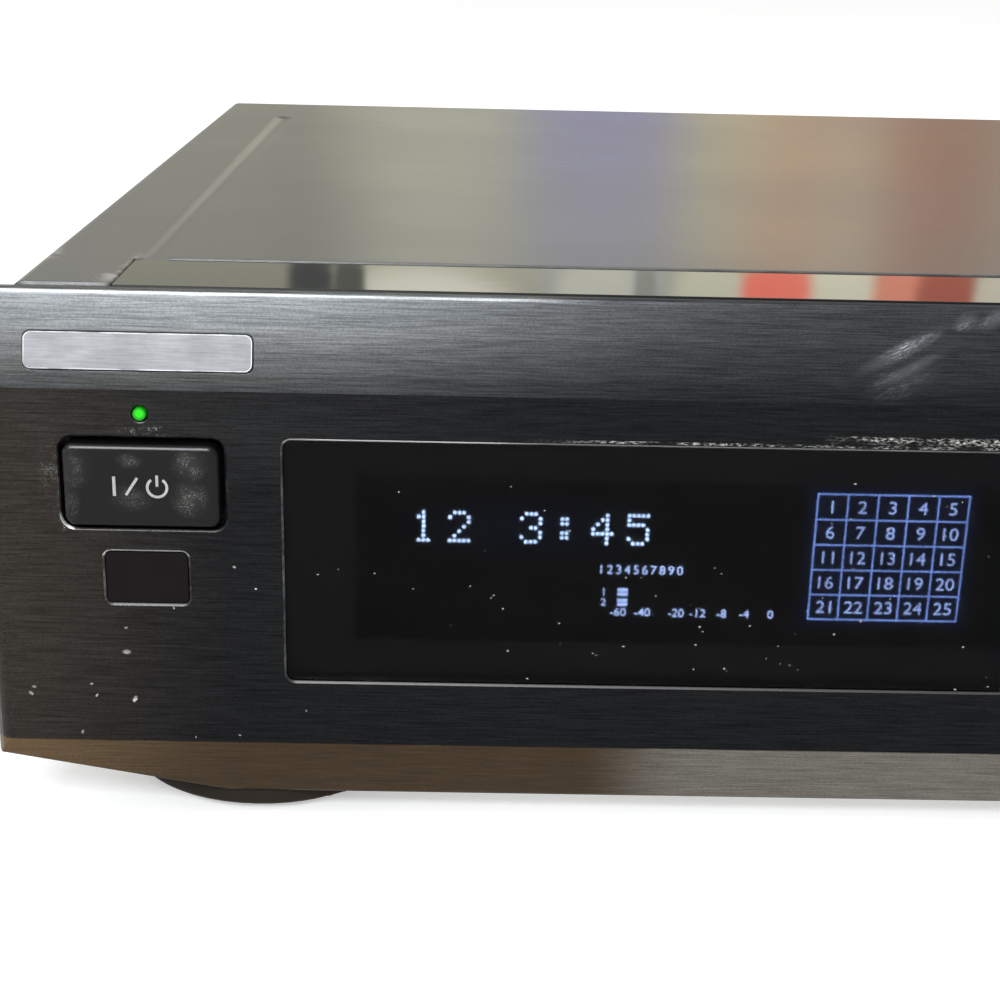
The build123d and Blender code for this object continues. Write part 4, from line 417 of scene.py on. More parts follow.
def brushed_fascia():
    """Black anodised aluminium, brushed along its length, worn bright along its cut edges; painted
    reflections, highlights and shade laid over it.
    """
    skin = Finish("brushed_black_anodised", (0.0100, 0.0104, 0.0114), 0.36, Metallic=1.0)
    skin.edge_radius = 0.3 * MM
    tree = skin.tree
    # Painted reflection: the upper left of the flat face a shade lighter.
    skin.lay(skin.box(mm(-205, -126, 80), mm(85, 40, 20), 0.3), (0.0160, 0.0162, 0.0168))
    # Painted reflection: the left end lighter and warmer.
    left_end_painted_reflection = skin.spot(mm(-222, -126, 46), mm(54, 40, 92), 0.1)
    skin.lay(left_end_painted_reflection, (0.029, 0.0252, 0.0213))

    # The leaning band: its roughness is its own, its lighter colour a painted reflection.
    band = skin.box(mm(0, -120, 89.15), mm(300, 30, 10.05), 0.985)
    skin.lay(band, (0.0178, 0.0183, 0.0192), 0.37)
    # Painted highlight over the left of the band, stronger in its lower half.
    band_left_painted_highlight = skin.box(mm(-215, -120, 86), mm(132, 40, 60), 0.3)
    skin.lay(skin.times(band, band_left_painted_highlight), (0.0325, 0.0337, 0.0345))
    band_low_painted_highlight = skin.box(mm(-215, -120, 84), mm(110, 40, 7), 0.2)
    skin.lay(skin.times(band, band_low_painted_highlight), (0.050, 0.0505, 0.050))
    # Painted shade along the crease under the band, weaker at the left.
    crease_painted_shade = skin.box(mm(0, -126, 78.6), mm(300, 30, 5), 0.2)
    crease_shade_strength = maths(tree, "MULTIPLY_ADD", band_left_painted_highlight, -0.45, 0.8)
    skin.lay(skin.times(band, crease_painted_shade, crease_shade_strength), (0.0118, 0.0121, 0.0128))
    # Painted highlight along the top edge at the left.
    skin.lay(skin.box(mm(-205, -122, 94.6), mm(92, 12, 0.95), 0.8), (0.068, 0.070, 0.071))

    # Painted reflection on the lower chamfer: brown, browner at the left end, pale towards the
    # right; its roughness is its own.
    chamfer = skin.box(mm(0, -124, 8), mm(260, 12, 9.2), 0.97)
    skin.lay(chamfer, (0.046, 0.028, 0.013), 0.34)
    skin.lay(skin.times(chamfer, left_end_painted_reflection), (0.125, 0.078, 0.038))
    chamfer_painted_pale_reflection = skin.box(mm(80, -126, 10), mm(195, 20, 40), 0.9)
    skin.lay(skin.times(chamfer, chamfer_painted_pale_reflection), (0.132, 0.122, 0.106))

    drawn = skin.brush(5200.0, 110.0, 0.001 * MM, 0.66, 1.38)
    skin.shade(drawn["Bands"], 0.975, 1.025)
    skin.roughen(drawn["Lines"], 0.40)
    skin.pebble(2900.0, 0.0, 0.88, 1.12)
    skin.roughen(skin.times(skin.cloud(30.0), 0.3), 0.46)

    streaks = skin.powder(4600.0, 520.0, Turn=SCUFF_TURN, Drag=8.0, Softness=0.14)
    scuffed = maths(tree, "ADD", streaks, 0.22)
    skin.lay_at(SCUFFS, scuffed, (0.145, 0.150, 0.158), 0.5, turn=SCUFF_TURN)

    facing = add(tree, "SeparateXYZ", {0: add(tree, "NewGeometry").outputs["True Normal"]}).outputs
    height = add(tree, "SeparateXYZ", {0: skin.position}).outputs[2]
    openings = maths(tree, "LESS_THAN", height, OPENINGS_TOP)
    cut = skin.times(maths(tree, "COMPARE", facing[1], CUT_FACING, 0.03), openings)
    rubbed = remap(tree, noise(tree, skin.position, 300.0, 3.0, 0.7), 0.38, 0.66, 0.25, 1.0)
    skin.lay(skin.times(cut, rubbed), (0.11, 0.11, 0.105), 0.4)
    # Painted shade on cut edges that face up, and painted glints on cut edges at listed places.
    upward_cut_painted_shade = maths(tree, "GREATER_THAN", facing[2], 0.3)
    skin.lay(skin.times(cut, upward_cut_painted_shade), (0.034, 0.033, 0.032), 0.4)
    skin.lay_at(PAINTED_CUT_GLINTS, cut, (0.95, 0.95, 0.94), 0.45, core=0.5, boxed=True)
    # Painted highlight on the flat top edge at the left.
    level = maths(tree, "GREATER_THAN", facing[2], 0.95)
    topmost = maths(tree, "GREATER_THAN", height, BAND_TOP)
    skin.lay(skin.times(level, topmost, band_left_painted_highlight), (0.13, 0.13, 0.12))

    chipped = skin.powder(3400.0, 420.0, Drag=3.0, Softness=0.13, Fullness=0.1)
    skin.lay_at(WORN_LIPS, chipped, (0.46, 0.45, 0.42), 0.5, core=0.5, boxed=True)
    skin.lay_at(FACE_DUST, skin.powder(3300.0, 600.0), (0.34, 0.33, 0.31), 0.75)
    skin.dust((170.0, 0.03, 0.5), 0.6, (0.36, 0.34, 0.31), 0.8)
    torn = maths(tree, "ADD", skin.powder(2800.0, 900.0), 0.35)
    for x, z, size in CHIPS:
        chip = skin.spot(mm(x, -128.5, z), mm(size, size, size * 0.6), 0.4, turn=x)
        skin.lay(skin.times(chip, torn), (0.5, 0.48, 0.45), 0.7)
    return skin.done()


# Rubbed places on the leaning band, streaked at a slant: centre, reach, strength.
SCUFF_TURN = 0.47
SCUFFS = [
    (mm(-66.5, -127, 87.3), mm(9.5, 8, 1.7), 0.95),
    (mm(-64.7, -127, 84.7), mm(9.0, 8, 1.2), 0.65),
    (mm(-65.5, -127, 83.4), mm(8.0, 8, 4.2), 0.32),
    (mm(-55.8, -127, 92.2), mm(3.2, 8, 1.7), 0.6),
    (mm(-51.0, -127, 92.7), mm(4.5, 8, 1.9), 0.9),
    (mm(-38.0, -127, 90.5), mm(8.0, 8, 2.0), 0.5),
]
# The y of the normal of the chamfers cut round the openings in the face.
CUT_FACING = -0.707
# Above this no opening is cut in the face.
OPENINGS_TOP = 78 * MM
# Above this the face is only its rounded and flat top edge.
BAND_TOP = 93.5 * MM
# Painted glints on cut edges: centre, reach, strength.
PAINTED_CUT_GLINTS = [
    (mm(-146, -127, 72.2), mm(24, 6, 1.7), 0.9),
    (mm(-100, -127, 72.2), mm(70, 6, 1.7), 0.3),
    (mm(-187.6, -127, 51.8), mm(11, 6, 1.2), 0.6),
    (mm(-201.0, -127, 56.3), mm(2.2, 6, 2.2), 0.5),
]
# Chipped stretches along the upper edge of the window opening: centre, reach, strength.
WORN_LIPS = [
    (mm(-58.5, -128.5, 73.0), mm(20.0, 2, 0.85), 0.85),
    (mm(-63.5, -128.5, 73.2), mm(9.0, 2, 0.4), 1.0),
    (mm(-52.5, -128.5, 73.1), mm(4.5, 2, 0.45), 1.0),
    (mm(-80.0, -128.5, 71.95), mm(48.0, 2, 0.3), 0.9),
]
# Dust lying on the flat face round the power button: centre, reach, strength.
FACE_DUST = [
    (mm(-186.5, -128.5, 72.3), mm(6.0, 3, 1.3), 1.0),
    (mm(-202.3, -128.5, 64.5), mm(2.6, 3, 8.0), 0.4),
    (mm(-200.6, -128.5, 56.2), mm(2.4, 3, 1.6), 1.0),
    (mm(-176.0, -128.5, 62.0), mm(3.0, 3, 8.0), 0.35),
]
# Small bright chips on the flat face: x, z and size in millimetres. The x is also a chip's turn
# in radians, so that no two lie alike.
CHIPS = [
    (-190.6, 24.9, 0.8), (-191.6, 33.6, 0.9), (-191.5, 38.0, 0.4), (-208.1, 25.7, 0.6),
    (-207.5, 26.9, 0.5), (-197.8, 27.6, 0.4), (-197.0, 25.5, 0.4), (-199.8, 18.6, 0.5),
    (-173.2, 49.2, 0.4), (-169.7, 45.4, 0.3), (-180.6, 17.9, 0.3), (-173.1, 18.4, 0.3),
    (-183.4, 41.7, 0.3), (-161.7, 23.2, 0.3),
]


def cover_paint():
    """Black paint with a fine texture on folded sheet steel, worn bright at its cut edges."""
    skin = Finish("textured_black_paint", (0.026, 0.0255, 0.0225), 0.27, IOR=1.5)
    skin.edge_radius = 1.8 * MM
    skin.pebble(2600.0, 0.005 * MM, 0.85, 1.2)
    skin.roughen(skin.times(skin.cloud(14.0), 0.3), 0.36)
    skin.dust((75.0, 0.045, 0.4), 0.6, (0.32, 0.30, 0.27), 0.8)
    skin.wear(0.7 * MM, 0.55, 120.0, (0.17, 0.165, 0.15), 0.5)
    skin.lay_at(COVER_MARKS, skin.cloud(520.0), (0.42, 0.40, 0.35), 0.6, core=0.2)
    return skin.done()


# Light marks on the top of the cover: centre, reach, strength.
COVER_MARKS = [
    (mm(-207, -99.5, 95), mm(2.5, 7, 3), 0.7),
    (mm(-194, -117.5, 95), mm(3, 5, 3), 0.7),
    (mm(-192.2, -110, 95), mm(1.6, 16, 3), 0.7),
]


def gloss_frame():
    """Polished black plastic, as the strip along the top of the front shows."""
    skin = Finish("polished_black_plastic", (0.013, 0.013, 0.014), 0.05, IOR=1.5)
    waves = skin.cloud(60.0)
    skin.lift(waves, FINE_RELIEF)
    skin.roughen(skin.times(waves, 0.5), 0.09)
    return skin.dust((150.0, 0.06, 0.35), 0.6, (0.3, 0.29, 0.27), 0.7).done()


def smoked_window():
    """Dark smoked acrylic, clear enough for the lit display to show through."""
    skin = Finish(
        "smoked_acrylic", (0.22, 0.215, 0.235), 0.28, IOR=1.125, Transmission_Weight=1.0
    )
    return skin.mottle(25.0, 0.96, 1.0, 0.3, 0.32).done()


def key_plastic():
    """Satin black plastic of the push buttons, dusty in patches and rubbed along the edges."""
    skin = Finish("satin_key_plastic", (0.0045, 0.0043, 0.0043), 0.30, IOR=1.25)
    skin.edge_radius = 0.3 * MM
    skin.pebble(3400.0, 0.003 * MM, 0.85, 1.2)
    grime = skin.powder(3600.0, 520.0, Softness=0.10, Fullness=0.05)
    caked = maths(skin.tree, "MULTIPLY_ADD", grime, 0.9, 0.08)
    skin.lay_at(BUTTON_DUST, caked, (0.24, 0.23, 0.22), 0.75)
    return skin.wear(0.5 * MM, 0.4, 300.0, (0.11, 0.11, 0.11), 0.5).done()


# Dusty patches on the power button: centre, reach, strength.
BUTTON_DUST = [
    (mm(-179.6, -130, 67.2), mm(3.6, 4, 3.4), 1.0),
    (mm(-179.8, -130, 61.6), mm(3.6, 4, 4.0), 1.0),
    (mm(-189.3, -130, 67.8), mm(2.6, 4, 1.6), 0.8),
    (mm(-189.3, -130, 61.4), mm(4.2, 4, 2.8), 0.55),
    (mm(-198.6, -130, 66.6), mm(3.6, 4, 4.5), 0.75),
    (mm(-199.6, -130, 60.6), mm(2.6, 4, 4.5), 0.55),
]


def badge_satin():
    """A satin metal plate, left blank."""
    skin = Finish("satin_badge_metal", (0.105, 0.105, 0.108), 0.42, Metallic=1.0)
    skin.brush(5200.0, 180.0, 0.001 * MM, 0.85, 1.1)
    skin.mottle(150.0, 0.80, 1.0)
    return skin.wear(0.4 * MM, 0.5, 260.0, (0.62, 0.63, 0.64), 0.3).done()


def sensor_filter():
    """A dark filter over the remote sensor."""
    skin = Finish("dark_filter", (0.005, 0.0035, 0.0045), 0.12, IOR=1.17)
    skin.mottle(90.0, 0.8, 1.3, 0.4, 0.25)
    return skin.dust((420.0, 0.06, 0.5), 0.5, (0.30, 0.28, 0.28), 0.8).done()


def lamp_lens():
    """The green power lamp, lit."""
    skin = Finish("green_lamp", (0.008, 0.22, 0.006), 0.3, IOR=1.3)
    middle = skin.spot(mm(-187.6, -128.7, 75.3), mm(1.1, 4, 1.1), 0.35)
    lit = mix_colour(skin.tree, middle, (0.001, 0.10, 0.0005), (0.018, 0.72, 0.006))
    return skin.give_light(lit, 0.95).shade(middle, 0.7, 1.0).done()


def foot_plastic():
    """Brown-black moulded plastic of the feet."""
    skin = Finish("moulded_foot_plastic", (0.018, 0.0125, 0.0085), 0.55, IOR=1.22)
    skin.pebble(1500.0, 0.008 * MM)
    skin.mottle(70.0, 0.75, 1.3)
    return skin.wear(0.8 * MM, 0.5, 180.0, (0.07, 0.055, 0.042), 0.6).done()


# Finishes made up from two plain kinds, and those of the inside


def plastic(name, colour, roughness, pebbles=2400.0, depth=FINE_RELIEF, wear=0.15):
    """Moulded plastic: fine pebble, faint clouds, edges slightly rubbed."""
    skin = Finish(name, colour, roughness).pebble(pebbles, depth, 0.92, 1.08)
    skin.mottle(60.0, 0.88, 1.06, 0.4, min(1.0, roughness + 0.15))
    pale = [min(1.0, part * 1.6 + 0.03) for part in colour]
    return skin.wear(THIN_EDGE, wear, 240.0, pale)


def metal(name, colour, roughness, lines=1800.0, breaks=60.0, depth=DRAWN_RELIEF, wear=0.2):
    """Sheet or turned metal: drawn lines, uneven tarnish, brighter edges."""
    skin = Finish(name, colour, roughness, Metallic=1.0)
    skin.brush(lines, breaks, depth, 0.86, 1.08)
    skin.mottle(45.0, 0.82, 1.04, 0.5, min(1.0, roughness + 0.18))
    bright = [min(1.0, part * 1.25 + 0.05) for part in colour]
    return skin.wear(THIN_EDGE, wear, 240.0, bright)


def circuit_board():
    """Green lacquer over copper tracks, with pale solder dots."""
    skin = Finish("green_circuit_board", (0.012, 0.070, 0.030), 0.32, IOR=1.5, Coat_Weight=0.3)
    inputs = {"Vector": skin.position, "Scale": 60.0, "Mortar Size": 0.035}
    tracks = add(skin.tree, "TexBrick", inputs, offset=0.5).outputs["Fac"]
    skin.lay(skin.times(tracks, 0.7), (0.045, 0.16, 0.07))
    dots = skin.specks(190.0, 0.14, 0.6)
    skin.lay(dots, (0.55, 0.55, 0.52), 0.3)
    skin.lift(tracks, 0.03 * MM).lift(dots, 0.12 * MM)
    return skin.mottle(30.0, 0.85, 1.1).done()


def transformer_core():
    """Varnished steel sheets in a stack, the varnish darker in patches."""
    skin = Finish("varnished_core", (0.16, 0.145, 0.125), 0.45, Metallic=0.6)
    sheets = skin.waves(380.0, "Z", 0.4)
    skin.shade(sheets, 0.65, 1.15).lift(sheets, 0.06 * MM)
    return skin.lay(skin.times(skin.cloud(55.0), 0.45), (0.10, 0.055, 0.025), 0.3).done()


def capacitor_sleeve():
    """Dark blue shrink sleeve over the cans, darker in a ring round each."""
    skin = plastic("dark_blue_sleeve", (0.018, 0.030, 0.085), 0.24, 1600.0)
    return skin.shade(skin.box(mm(0, 0, 22.4), mm(300, 300, 0.9), 0.8), 1.0, 0.6).done()


def ribbon():
    """Flat pale cable, its wires side by side."""
    skin = Finish("pale_flat_cable", (0.62, 0.61, 0.57), 0.45, IOR=1.45)
    wires = skin.waves(320.0, "X")
    skin.shade(wires, 0.72, 1.05).lift(wires, 0.12 * MM)
    return skin.mottle(60.0, 0.88, 1.0).done()


def phono_block():
    """Plated sockets with coloured collars on a black block."""
    skin = plastic("phono_block_black", (0.018, 0.018, 0.018), 0.4)
    metallic = 0.0
    for x, z, colour in PHONO_COLLARS:
        outer_end = skin.box(mm(x, 140.5, z), mm(20, 7.5, 20), 0.99)
        collar = skin.ring(mm(x, 0, z), 0.0, 8.3 * MM)
        skin.lay(skin.times(collar, outer_end), colour, 0.4)
        plated = skin.times(skin.ring(mm(x, 0, z), 2.6 * MM, 4.35 * MM), outer_end)
        skin.lay(plated, (0.70, 0.66, 0.58), 0.25)
        metallic = maths(skin.tree, "MAXIMUM", metallic, plated)
    fill(skin.tree, skin.shader.inputs["Metallic"], metallic)
    return skin.done()


RED_COLLAR, WHITE_COLLAR = (0.45, 0.015, 0.012), (0.72, 0.71, 0.68)
PHONO_COLLARS = [
    (66, 36, RED_COLLAR), (66, 54, WHITE_COLLAR), (84, 36, RED_COLLAR), (84, 54, WHITE_COLLAR),
]


def rear_paint():
    """Black paint on the rear sheet, fine and even."""
    skin = plastic("rear_black_paint", (0.021, 0.021, 0.022), 0.42, 2600.0, wear=0.35)
    return skin.dust((80.0, 0.05, 0.4), 0.6, (0.28, 0.27, 0.25), 0.8).done()


FINISHES = {
    "fascia_brushed": brushed_fascia(),
    "frame_plastic": gloss_frame(),
    "window_smoke": smoked_window(),
    "dust": plastic("pale_dust", (0.36, 0.345, 0.32), 0.85, wear=0.0).done(),
    "badge_satin": badge_satin(),
    "sensor_dark": sensor_filter(),
    "led_green": lamp_lens(),
    "cover_paint": cover_paint(),
    "chassis_zinc": metal("zinc_plated_sheet", (0.56, 0.555, 0.53), 0.34).done(),
    "rear_paint": rear_paint(),
    "screw_black": metal("blackened_screw", (0.055, 0.055, 0.058), 0.34, wear=0.6).done(),
    "foot_plastic": foot_plastic(),
    "pad_rubber": plastic("pad_rubber", (0.016, 0.016, 0.016), 0.75, 1800.0, 0.01 * MM).done(),
    "key_plastic": key_plastic(),
    "flap_plastic": plastic("flap_black", (0.016, 0.016, 0.017), 0.28, wear=0.3).done(),
    "knob_metal": metal(
        "anodised_knob", (0.030, 0.032, 0.036), 0.32, 3200.0, 3200.0, wear=0.5
    ).done(),
    "shaft_steel": metal("turned_steel", (0.62, 0.62, 0.61), 0.22, 4200.0, 300.0).done(),
    "rotor_plastic": plastic("natural_plastic", (0.68, 0.66, 0.58), 0.42).done(),
    "pot_case": metal("pressed_case", (0.52, 0.52, 0.50), 0.32).done(),
    "jack_nickel": metal("nickel_plate", (0.30, 0.295, 0.285), 0.3, 5000.0, 900.0).done(),
    "switch_black": plastic("switch_black", (0.02, 0.02, 0.02), 0.5).done(),
    "board_green": circuit_board(),
    "mech_steel": metal("pressed_zinc_steel", (0.60, 0.60, 0.575), 0.30, 1500.0, 40.0).done(),
    "damper_rubber": plastic("damper_rubber", (0.03, 0.028, 0.027), 0.7, 1500.0, 0.01 * MM).done(),
    "slider_plastic": plastic("white_acetal", (0.74, 0.73, 0.69), 0.34).done(),
    "motor_can": metal("motor_can_steel", (0.50, 0.50, 0.50), 0.26, 2200.0, 500.0).done(),
    "sled_metal": metal(
        "die_cast_sled", (0.46, 0.465, 0.48), 0.46, 700.0, 700.0, 0.01 * MM
    ).done(),
    "arm_steel": metal("spring_steel", (0.62, 0.61, 0.59), 0.2, 2600.0, 60.0).done(),
    "chip_black": plastic("moulded_chip_black", (0.018, 0.018, 0.019), 0.55, 5000.0).done(),
    "capacitor_sleeve": capacitor_sleeve(),
    "sink_aluminium": metal("extruded_aluminium", (0.50, 0.50, 0.51), 0.34, 1700.0, 30.0).done(),
    "core_steel": transformer_core(),
    "cable_grey": ribbon(),
    "phono_metal": phono_block(),
    "socket_black": plastic("socket_black", (0.017, 0.017, 0.017), 0.36, wear=0.3).done(),
}


def dress_nodes():
    """Gives each CAD node the finish of its slot in the record."""
    for node in nodes.values():
        for place, material in enumerate(node.data.materials):
            if material.name in FINISHES:
                node.data.materials[place] = FINISHES[material.name]


# Mesh helpers


def new_object(name, mesh, finish):
    """Puts a mesh that was being built into the scene."""
    shape = bpy.data.meshes.new(name)
    mesh.normal_update()
    mesh.to_mesh(shape)
    mesh.free()
    shape.materials.append(finish)
    made = bpy.data.objects.new(name, shape)
    bpy.context.scene.collection.objects.link(made)
    return made


def make_piece(name, mesh, finish, body):
    """A new piece of the deck that rides on a body."""
    piece = new_object(name, mesh, finish)
    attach(piece, body)
    return piece


def add_plate(mesh, outline, front, back):
    """A flat plate of an outline of (x, z) points, from y of its front to y of its back."""
    near = [mesh.verts.new((x, front, z)) for x, z in outline]
    far = [mesh.verts.new((x, back, z)) for x, z in outline]
    mesh.faces.new(near)
    mesh.faces.new(far[::-1])
    count = len(outline)
    for i in range(count):
        j = (i + 1) % count
        mesh.faces.new((near[j], near[i], far[i], far[j]))


def rectangle(x, z, width, height):
    """The corners of a rectangle about a middle."""
    left, right, low, high = x - width / 2, x + width / 2, z - height / 2, z + height / 2
    return [(left, low), (right, low), (right, high), (left, high)]


def around(x, z, radius, degrees):
    """The point at a radius and an angle round a middle, anticlockwise from +x."""
    angle = math.radians(degrees)
    return (x + radius * math.cos(angle), z + radius * math.sin(angle))


def disc(x, z, radius, sides=28):
    """The points round a disc."""
    return [around(x, z, radius, 360 * i / sides) for i in range(sides)]


def arc_strip(x, z, radius, stroke, start, end, steps=26):
    """Part of a ring, from a start to an end angle in degrees, anticlockwise from +x."""
    angles = [start + (end - start) * i / steps for i in range(steps + 1)]
    outer = [around(x, z, radius + stroke / 2, angle) for angle in angles]
    return outer + [around(x, z, radius - stroke / 2, angle) for angle in reversed(angles)]


def stroke_between(start, end, width):
    """A straight stroke from one (x, z) point to another."""
    along = Vector((end[0] - start[0], end[1] - start[1])).normalized()
    side = Vector((-along.y, along.x)) * width / 2
    corners = [(start, -1), (end, -1), (end, 1), (start, 1)]
    return [(point[0] + side.x * sign, point[1] + side.y * sign) for point, sign in corners]


def figure_mesh(text, depth):
    """The mesh of some figures in Blender's own font, at its own size."""
    curve = bpy.data.curves.new("figures", "FONT")
    curve.body = text
    curve.extrude = depth
    curve.resolution_u = 4
    holder = bpy.data.objects.new("figures", curve)
    bpy.context.scene.collection.objects.link(holder)
    bpy.context.view_layer.update()
    made = bpy.data.meshes.new_from_object(
        holder.evaluated_get(bpy.context.evaluated_depsgraph_get())
    )
    bpy.data.objects.remove(holder)
    bpy.data.curves.remove(curve)
    return made


FIGURE_RISE = max(vertex.co.y for vertex in figure_mesh("8", 0.01).vertices)


def add_figures(mesh, text, height, x, z, front, thickness, squeeze=1.0):
    """Plain figures of that height, centred at x and z, their front at y = front."""
    scale = height / FIGURE_RISE
    made = figure_mesh(text, thickness / 2 / scale)
    left = min(vertex.co.x for vertex in made.vertices)
    right = max(vertex.co.x for vertex in made.vertices)
    for vertex in made.vertices:
        flat = vertex.co.copy()
        vertex.co = (
            x + (flat.x - (left + right) / 2) * scale * squeeze,
            front + thickness / 2 - flat.z * scale,
            z + (flat.y - FIGURE_RISE / 2) * scale,
        )
    mesh.from_mesh(made)
    bpy.data.meshes.remove(made)


SURFACES = {}


def surface_y(node, x, z):
    """The y of a CAD node's front surface at x and z."""
    if node not in SURFACES:
        SURFACES[node] = BVHTree.FromObject(nodes[node], bpy.context.evaluated_depsgraph_get())
    found = SURFACES[node].ray_cast(Vector((x, -1.0, z)), Vector((0, 1, 0)))[0]
    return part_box(node)[0].y if found is None else found.y


# The display behind the window

WINDOW_LIFT = 0.12 * MM
DUST_FLECKS = 110
DUST_LEFT, DUST_RIGHT = -168 * MM, -38 * MM
DUST_LOW, DUST_HIGH = 25.5 * MM, 69 * MM
FLECK_CORNERS = (0.0, 1.1, 2.3, 3.4, 4.6, 5.5)
FLECK_SIZES = (0.06 * MM, 0.19 * MM)
DUST_SEED = 11
GLASS_WALL = 1.0 * MM
TUBE_RIM = 2.2 * MM
WIRE_THICK = 0.03 * MM
PHOSPHOR_Y = FACE_Y + 6.3 * MM
PHOSPHOR_THICK = 0.06 * MM

# Number grid: five rows of five
GRID_LEFT, GRID_RIGHT = -76.5 * MM, -51.1 * MM
GRID_LOW, GRID_HIGH = 39.2 * MM, 61.8 * MM
GRID_COUNT = 5
GRID_LINE = 0.27 * MM
GRID_FIGURE = 2.2 * MM

# Row of five-by-seven dot figures
DOT_LEFT = -144.2 * MM
DOT_LOW, DOT_HIGH = 51.95 * MM, 57.75 * MM
CELL_PITCH = 6.0 * MM
CELL_WIDTH = 3.9 * MM
DOT_COLUMNS, DOT_ROWS = 5, 7
DOT_SIDES = 10
DOT_FILL = 0.84
DOT_FIGURES = {
    "1": ("..#..", ".##..", "..#..", "..#..", "..#..", "..#..", ".###."),
    "2": (".###.", "#...#", "....#", "...#.", "..#..", ".#...", "#####"),
    "3": (".###.", "#...#", "....#", "..##.", "....#", "#...#", ".###."),
    "4": ("...#.", "..##.", ".#.#.", "#..#.", "#####", "...#.", "...#."),
    "5": ("#####", "#....", "####.", "....#", "....#", "#...#", ".###."),
    ":": (".....", ".##..", ".##..", ".....", ".##..", ".##..", "....."),
    " ": (".....",) * 7,
}
SHOWN_TIME = "12 3:45"

# Level scale
SCALE_LOW, SCALE_HIGH = 39.0 * MM, 40.8 * MM
SCALE_FIGURES = [
    ("-60", -109.0), ("-40", -104.85), ("-20", -99.1), ("-12", -95.4), ("-8", -91.3),
    ("-4", -87.4), ("0", -82.95),
]
LEVEL_SQUARE_X = -108.35 * MM
LEVEL_ROWS = [(42.84 * MM, 44.27 * MM), (41.0 * MM, 42.35 * MM)]
LEGEND_LEFT, LEGEND_RIGHT = -112.9 * MM, -98.1 * MM
LEGEND_LOW, LEGEND_HIGH = 46.7 * MM, 48.6 * MM
LEGEND_FIGURES = "1234567890"
FIGURE_SHARE = 0.82


def phosphor(name, colour, strength):
    """Lit phosphor, a little uneven."""
    skin = Finish(name, colour, 0.6).mottle(170.0, 0.75, 1.0)
    return skin.give_light(skin.colour, strength).done()


def tube_back():
    """The dark plate behind the phosphors, with a painted glow round them."""
    skin = Finish("tube_back_plate", (0.003, 0.003, 0.004), 0.6, Specular_IOR_Level=0.1)
    skin.pebble(4000.0, 0.0, 0.8, 1.2)
    # Painted glow: the plate gives light round the number grid and the time.
    painted_glow_by_grid = skin.box(mm(-63.8, -122, 50.5), mm(15.4, 20, 13.8), 0.84)
    painted_glow_by_time = skin.spot(mm(-124, -122, 54.8), mm(26, 20, 6.5), 0.1)
    near = maths(skin.tree, "MAXIMUM", painted_glow_by_grid, skin.times(painted_glow_by_time, 0.5))
    lit = mix_colour(skin.tree, near, (0.0, 0.0, 0.0), (0.026, 0.042, 0.12))
    return skin.give_light(lit, 0.40).done()


def tube_glass():
    """Clear glass of the display tube."""
    skin = Finish("tube_glass", (0.92, 0.94, 0.95), 0.02, IOR=1.06, Transmission_Weight=1.0)
    return skin.mottle(20.0, 0.97, 1.0).done()


def add_block(mesh, low, high):
    """A closed block between two corners."""
    for vertex in bmesh.ops.create_cube(mesh, size=1.0)["verts"]:
        vertex.co = [
            low[axis] + (high[axis] - low[axis]) * (vertex.co[axis] + 0.5) for axis in range(3)
        ]


def soften(piece, width):
    """Rounds a piece's edges."""
    bevel = piece.modifiers.new("rounded edges", "BEVEL")
    bevel.width = width
    bevel.segments = 2
    bevel.limit_method = "ANGLE"
    return piece


def make_window():
    """The smoked panel, shaped as in the frame, its back held a hair off the part behind it."""
    panel = bmesh.new()
    panel.from_mesh(nodes["window_panel"].data)
    back = max(vertex.co.y for vertex in panel.verts)
    for vertex in panel.verts:
        if vertex.co.y > back - WINDOW_LIFT / 2:
            vertex.co.y -= WINDOW_LIFT
    finish = FINISHES["window_smoke"]
    window = make_piece("smoked_window", panel, finish, "case")
    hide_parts("window_panel")


def make_window_dust():
    """Flecks of dust on the front of the window, thickest towards its lower right."""
    chance = random.Random(DUST_SEED)
    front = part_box("window_panel")[0].y
    flecks = bmesh.new()
    for _ in range(DUST_FLECKS):
        along, down = chance.random() ** 0.6, chance.random() ** 0.7
        x = DUST_LEFT + (DUST_RIGHT - DUST_LEFT) * along
        z = DUST_HIGH - (DUST_HIGH - DUST_LOW) * down
        size = chance.uniform(*FLECK_SIZES)
        turn = chance.uniform(0.0, math.pi)
        outline = [
            (
                x + size * chance.uniform(0.6, 1.8) * math.cos(turn + angle),
                z + size * chance.uniform(0.5, 1.1) * math.sin(turn + angle),
            )
            for angle in FLECK_CORNERS
        ]
        add_plate(flecks, outline, front - 0.02 * MM, front + 0.01 * MM)
    make_piece("window_dust", flecks, FINISHES["dust"], "case")


